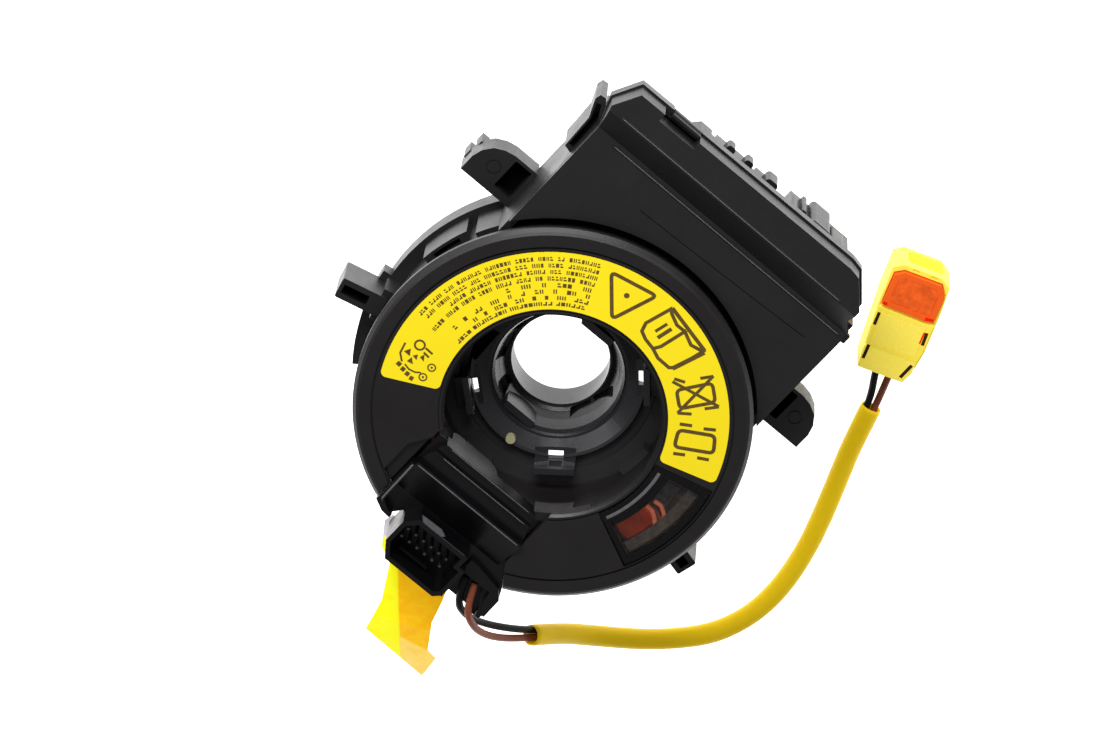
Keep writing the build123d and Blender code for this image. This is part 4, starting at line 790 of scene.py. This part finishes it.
# ramp over the step at the wire end
ramp_plan = plug([(-6.12, 0.06), (6.12, 0.06), (7.3, 3.4), (7.15, 6.58), (-6.38, 6.58), (-6.8, 6.58), (-6.55, 3.4)])
ramp_z = [12.1, 12.1, 12.65, 13.08, 13.08, 13.08, 12.65]
rn = len(ramp_plan)
rv = [(x * MM, y * MM, 11.22 * MM) for x, y in ramp_plan] + [(x * MM, y * MM, z * MM) for (x, y), z in zip(ramp_plan, ramp_z)]
rf = [tuple(reversed(range(rn))), tuple(rn + i for i in range(rn))]
rf += [(i, (i + 1) % rn, rn + (i + 1) % rn, rn + i) for i in range(rn)]
make_piece("plug_ramp", rv, rf, cream_ramp_brightened, "rotor")
# painted shade: dark brown plates on the latch slots, standing in for shade in the openings
for k, (x, y, z, tilt, half) in enumerate(((-6.62, 14.4, 13.1, 0.02, 1.8), (6.72, 13.6, 13.1, 0.05, 1.8),
                                           (-5.75, 4.9, 12.86, 0.02, 2.1), (5.75, 3.5, 12.66, -0.30, 2.3))):
    c, s = math.cos(tilt), math.sin(tilt)
    pts = [(x + px * c - py * s, y + px * s + py * c) for px, py in
           ((-0.42, -half), (0.42, -half), (0.42, half), (-0.42, half))]
    plan = plug(pts)
    if k < 2:
        plate("plug_slot_%d" % k, plan, z + 0.002, z + 0.03, slot_shade_brown, "rotor", 0.03)
    else:
        zz = [12.1 + 0.98 * min(1.0, max(0.0, q[1]) / 6.58) for q in pts]
        sv = [(p[0] * MM, p[1] * MM, (h - 0.25) * MM) for p, h in zip(plan, zz)]
        sv += [(p[0] * MM, p[1] * MM, (h + 0.10) * MM) for p, h in zip(plan, zz)]
        make_piece("plug_slot_%d" % k, sv, [(3, 2, 1, 0), (4, 5, 6, 7), (0, 1, 5, 4), (1, 2, 6, 5), (2, 3, 7, 6), (3, 0, 4, 7)],
                   slot_shade_brown, "rotor")
plate("plug_key", plug([(5.75, 12.0), (6.22, 12.0), (6.22, 15.3), (5.75, 15.3)]), 13.102, 13.15, signal_red, "rotor", 0.03)
plate("cap_end_left", plug([(-6.9, 18.75), (-5.7, 18.72), (-5.7, 19.6), (-6.9, 19.6)]), 13.502, 13.54, signal_red, "lock_cap", 0.02)
plate("cap_end_right", plug([(4.6, 18.45), (6.9, 18.95), (6.9, 19.7), (4.6, 19.5)]), 13.502, 13.54, signal_red, "lock_cap", 0.02)

# painted shade: dark plates on the floor of the notch in the hub's flange and in the gap beside the hub, where shade
# falls
plate("notch_shade_floor", band(18.4, 23.2, 158.0, 222.0, 24), 20.0, 20.42, deep, "rotor", 0.1)
plate("gap_shade_floor", band(21.6, 23.2, -38.0, 34.0, 30), 20.0, 20.42, deep, "rotor", 0.1)

# carrier parts seen through the window
cap = [(32.6, -13.6), (32.2, -10.4), (33.2, -7.2), (34.9, -5.2), (37.0, -5.6), (39.2, -6.6), (38.9, -10.6), (37.5, -14.4),
       (35.2, -14.6)]
plate("roller_cover", cap, 41.25, 41.62, window_orange, "carrier", 0.25)
plate("ribbon_turn_outer", ribbon([(35.0, -4.5), (36.9, -4.6), (38.8, -5.8), (40.4, -7.6)], 0.95), 41.3, 42.1, window_pink,
      "carrier", 0.18)
plate("ribbon_turn_inner", ribbon([(35.6, -2.2), (37.6, -2.0), (39.6, -3.2), (41.0, -5.2)], 0.95), 41.3, 42.1, window_pink,
      "carrier", 0.18)
plate("window_floor_strip", band(32.9, 38.6, -2.8, 11.0), 41.25, 41.6, window_blue, "carrier", 0.2)
plate("window_side_strip", band(39.4, 42.3, -22.2, 11.0), 44.35, 44.62, window_warm, "rotor", 0.1)
# painted shade: dark plate in the window's corner, where shade falls
plate("window_shaded_corner", band(32.4, 34.4, -24.6, -19.8, 6), 41.25, 41.55, deep, "carrier", 0.1)
# painted highlight: light line along the window rim
plate("window_rim_line", band(30.15, 31.0, -22.6, 12.0, 20), 47.502, 47.56, edge_highlight_grey, "rotor", 0.2)
plate("window_frame_end", band(30.6, 44.3, -25.0, -24.5, 4), 47.502, 47.53, deep, "rotor", 0.02)
plate("window_frame_outer", band(44.1, 44.5, -25.0, 13.6, 20), 47.502, 47.53, deep, "rotor", 0.02)



# painted highlight: light edges of the terminal block, standing in for light caught on the edges
def bead(name, pts, w, h, material, body):
    """Low half-round bead laid along a 3D line in mm."""
    v, f, m = [], [], 7
    n = len(pts)
    for i in range(n):
        p = Vector(pts[i])
        t = (Vector(pts[min(i + 1, n - 1)]) - Vector(pts[max(i - 1, 0)])).normalized()
        side = t.cross(Vector((0, 0, 1))).normalized()
        k = 0.35 if i in (0, n - 1) else 1.0
        for j in range(m):
            a = math.pi * j / (m - 1)
            q = p + side * (math.cos(a) * w / 2 * k) + Vector((0, 0, 1)) * (math.sin(a) * h * k - 0.03)
            v.append(q * MM)
    for i in range(n - 1):
        for j in range(m - 1):
            f.append((i * m + j, (i + 1) * m + j, (i + 1) * m + j + 1, i * m + j + 1))
        f.append((i * m, i * m + m - 1, (i + 1) * m + m - 1, (i + 1) * m))
    f.append(tuple(range(m)))
    f.append(tuple(reversed([(n - 1) * m + j for j in range(m)])))
    return make_piece(name, v, f, material, body, True)


bead("block_crest", [(-16.6, -31.9, 49.55), (-16.0, -31.9, 49.55), (15.8, -31.9, 49.55), (16.4, -31.9, 49.55)], 0.34, 0.14,
     edge_highlight_grey, "rotor")
bead("block_crest_mid", [(-12.6, -26.85, 48.0), (-12.0, -26.85, 48.0), (13.6, -26.85, 48.0), (14.2, -26.85, 48.0)], 0.24, 0.10,
     edge_highlight_grey, "rotor")
bead("block_crest_back", [(-12.6, -23.65, 47.9), (-12.0, -23.65, 47.9), (12.4, -23.65, 47.9), (13.0, -23.65, 47.9)], 0.24, 0.10,
     edge_highlight_grey, "rotor")
bead("block_cheek", [(-17.45, -33.0, 48.6), (-17.35, -33.5, 48.6), (-17.2, -45.0, 48.6), (-16.6, -46.0, 48.6)], 0.55, 0.10,
     edge_highlight_grey, "rotor")
bead("socket_rim_back", [(-7.0, -41.4, 53.945), (-6.5, -41.35, 53.945), (7.2, -41.35, 53.945), (7.7, -41.4, 53.945)], 0.40, 0.08,
     edge_highlight_grey, "rotor")
# painted highlight: light lines along the lid's crease and foot
bead("lid_crease", [(-39.0, 71.1, 47.72), (-38.0, 71.1, 47.72), (31.0, 71.1, 47.72), (32.0, 71.1, 47.72)], 0.26, 0.10,
     edge_highlight_grey, "stator")
bead("lid_foot", [(-34.6, 62.55, 42.25), (-34.0, 62.55, 42.25), (38.4, 62.55, 42.25), (39.2, 62.55, 42.25)], 0.26, 0.10,
     edge_highlight_grey, "stator")
# painted highlight: light patch where the socket wall turns away from the roof, standing in for reflected light
patch = [(-7.1, 50.4), (-0.8, 50.0), (0.6, 52.2), (-0.4, 53.7), (-6.6, 53.7)]
pv = [(x * MM, -41.19 * MM, z * MM) for x, z in patch] + [(x * MM, -41.14 * MM, z * MM) for x, z in patch]
pn = len(patch)
make_piece("socket_wall_highlight", pv, [tuple(range(pn)), tuple(reversed([pn + i for i in range(pn)]))]
           + [(i, pn + i, pn + (i + 1) % pn, (i + 1) % pn) for i in range(pn)], edge_highlight_grey, "rotor")
# tongue that carries the two wires out of the block
plate("lead_tongue", [(14.6, -53.2), (15.2, -51.6), (20.6, -50.6), (24.0, -52.9), (24.6, -57.6), (21.8, -57.3), (19.1, -56.2),
                      (16.6, -54.9)], 40.9, 41.5, M["block_plastic"], "rotor", 0.2)


# ---------------------------------------------------------------------------
# floor, light, camera
# ---------------------------------------------------------------------------
floor_mat, fnt, fb = new_mat("floor_white")
fnt.links.new(ramp(fnt, noise(fnt, 3.0, 2.0), [(0.3, (0.88, 0.88, 0.88)), (0.7, (0.90, 0.90, 0.90))]),
              fb.inputs["Base Color"])
fb.inputs["Roughness"].default_value = 0.9
fb.inputs["Emission Color"].default_value = (1.0, 1.0, 1.0, 1.0)
fb.inputs["Emission Strength"].default_value = 1.45
me = bpy.data.meshes.new("floor")
me.from_pydata([(-3, -3, -0.0004), (3, -3, -0.0004), (3, 3, -0.0004), (-3, 3, -0.0004)], [], [(0, 1, 2, 3)])
floor = bpy.data.objects.new("floor", me)
bpy.context.scene.collection.objects.link(floor)
me.materials.append(floor_mat)

world = bpy.data.worlds.new("studio")
bpy.context.scene.world = world
world.use_nodes = True
bg = world.node_tree.nodes["Background"]
bg.inputs["Color"].default_value = (1.0, 1.0, 1.0, 1.0)
bg.inputs["Strength"].default_value = 0.26


def area_light(name, place, aim, size, power):
    li = bpy.data.lights.new(name, "AREA")
    li.shape = "RECTANGLE"
    li.size, li.size_y = size
    li.energy = power
    ob = bpy.data.objects.new(name, li)
    bpy.context.scene.collection.objects.link(ob)
    d = Vector(aim) - Vector(place)
    ob.matrix_world = Matrix.Translation(place) @ d.to_track_quat("-Z", "Y").to_matrix().to_4x4()
    return ob


area_light("key", (-0.44, 0.48, 0.50), (0, 0, 0.03), (0.50, 0.36), 8.0)
area_light("side", (-0.9, -0.1, 0.9), (0, 0, 0.03), (0.5, 0.5), 2.0)

right = Vector((0.75345, 0.65496, -0.05778)).normalized()
back = Vector((-0.21773, 0.33147, 0.91800)).normalized()
up = back.cross(right).normalized()
right = up.cross(back).normalized()
cam_data = bpy.data.cameras.new("camera")
cam_data.lens = 169.6
cam_data.sensor_width = 36.0
cam_data.clip_start = 0.01
cam = bpy.data.objects.new("camera", cam_data)
bpy.context.scene.collection.objects.link(cam)
rot = Matrix((right, up, back)).transposed()
cam.matrix_world = Matrix.Translation((-0.2897, 0.4392, 1.2363)) @ rot.to_4x4()
bpy.context.scene.camera = cam

bpy.context.scene.view_settings.view_transform = "Standard"
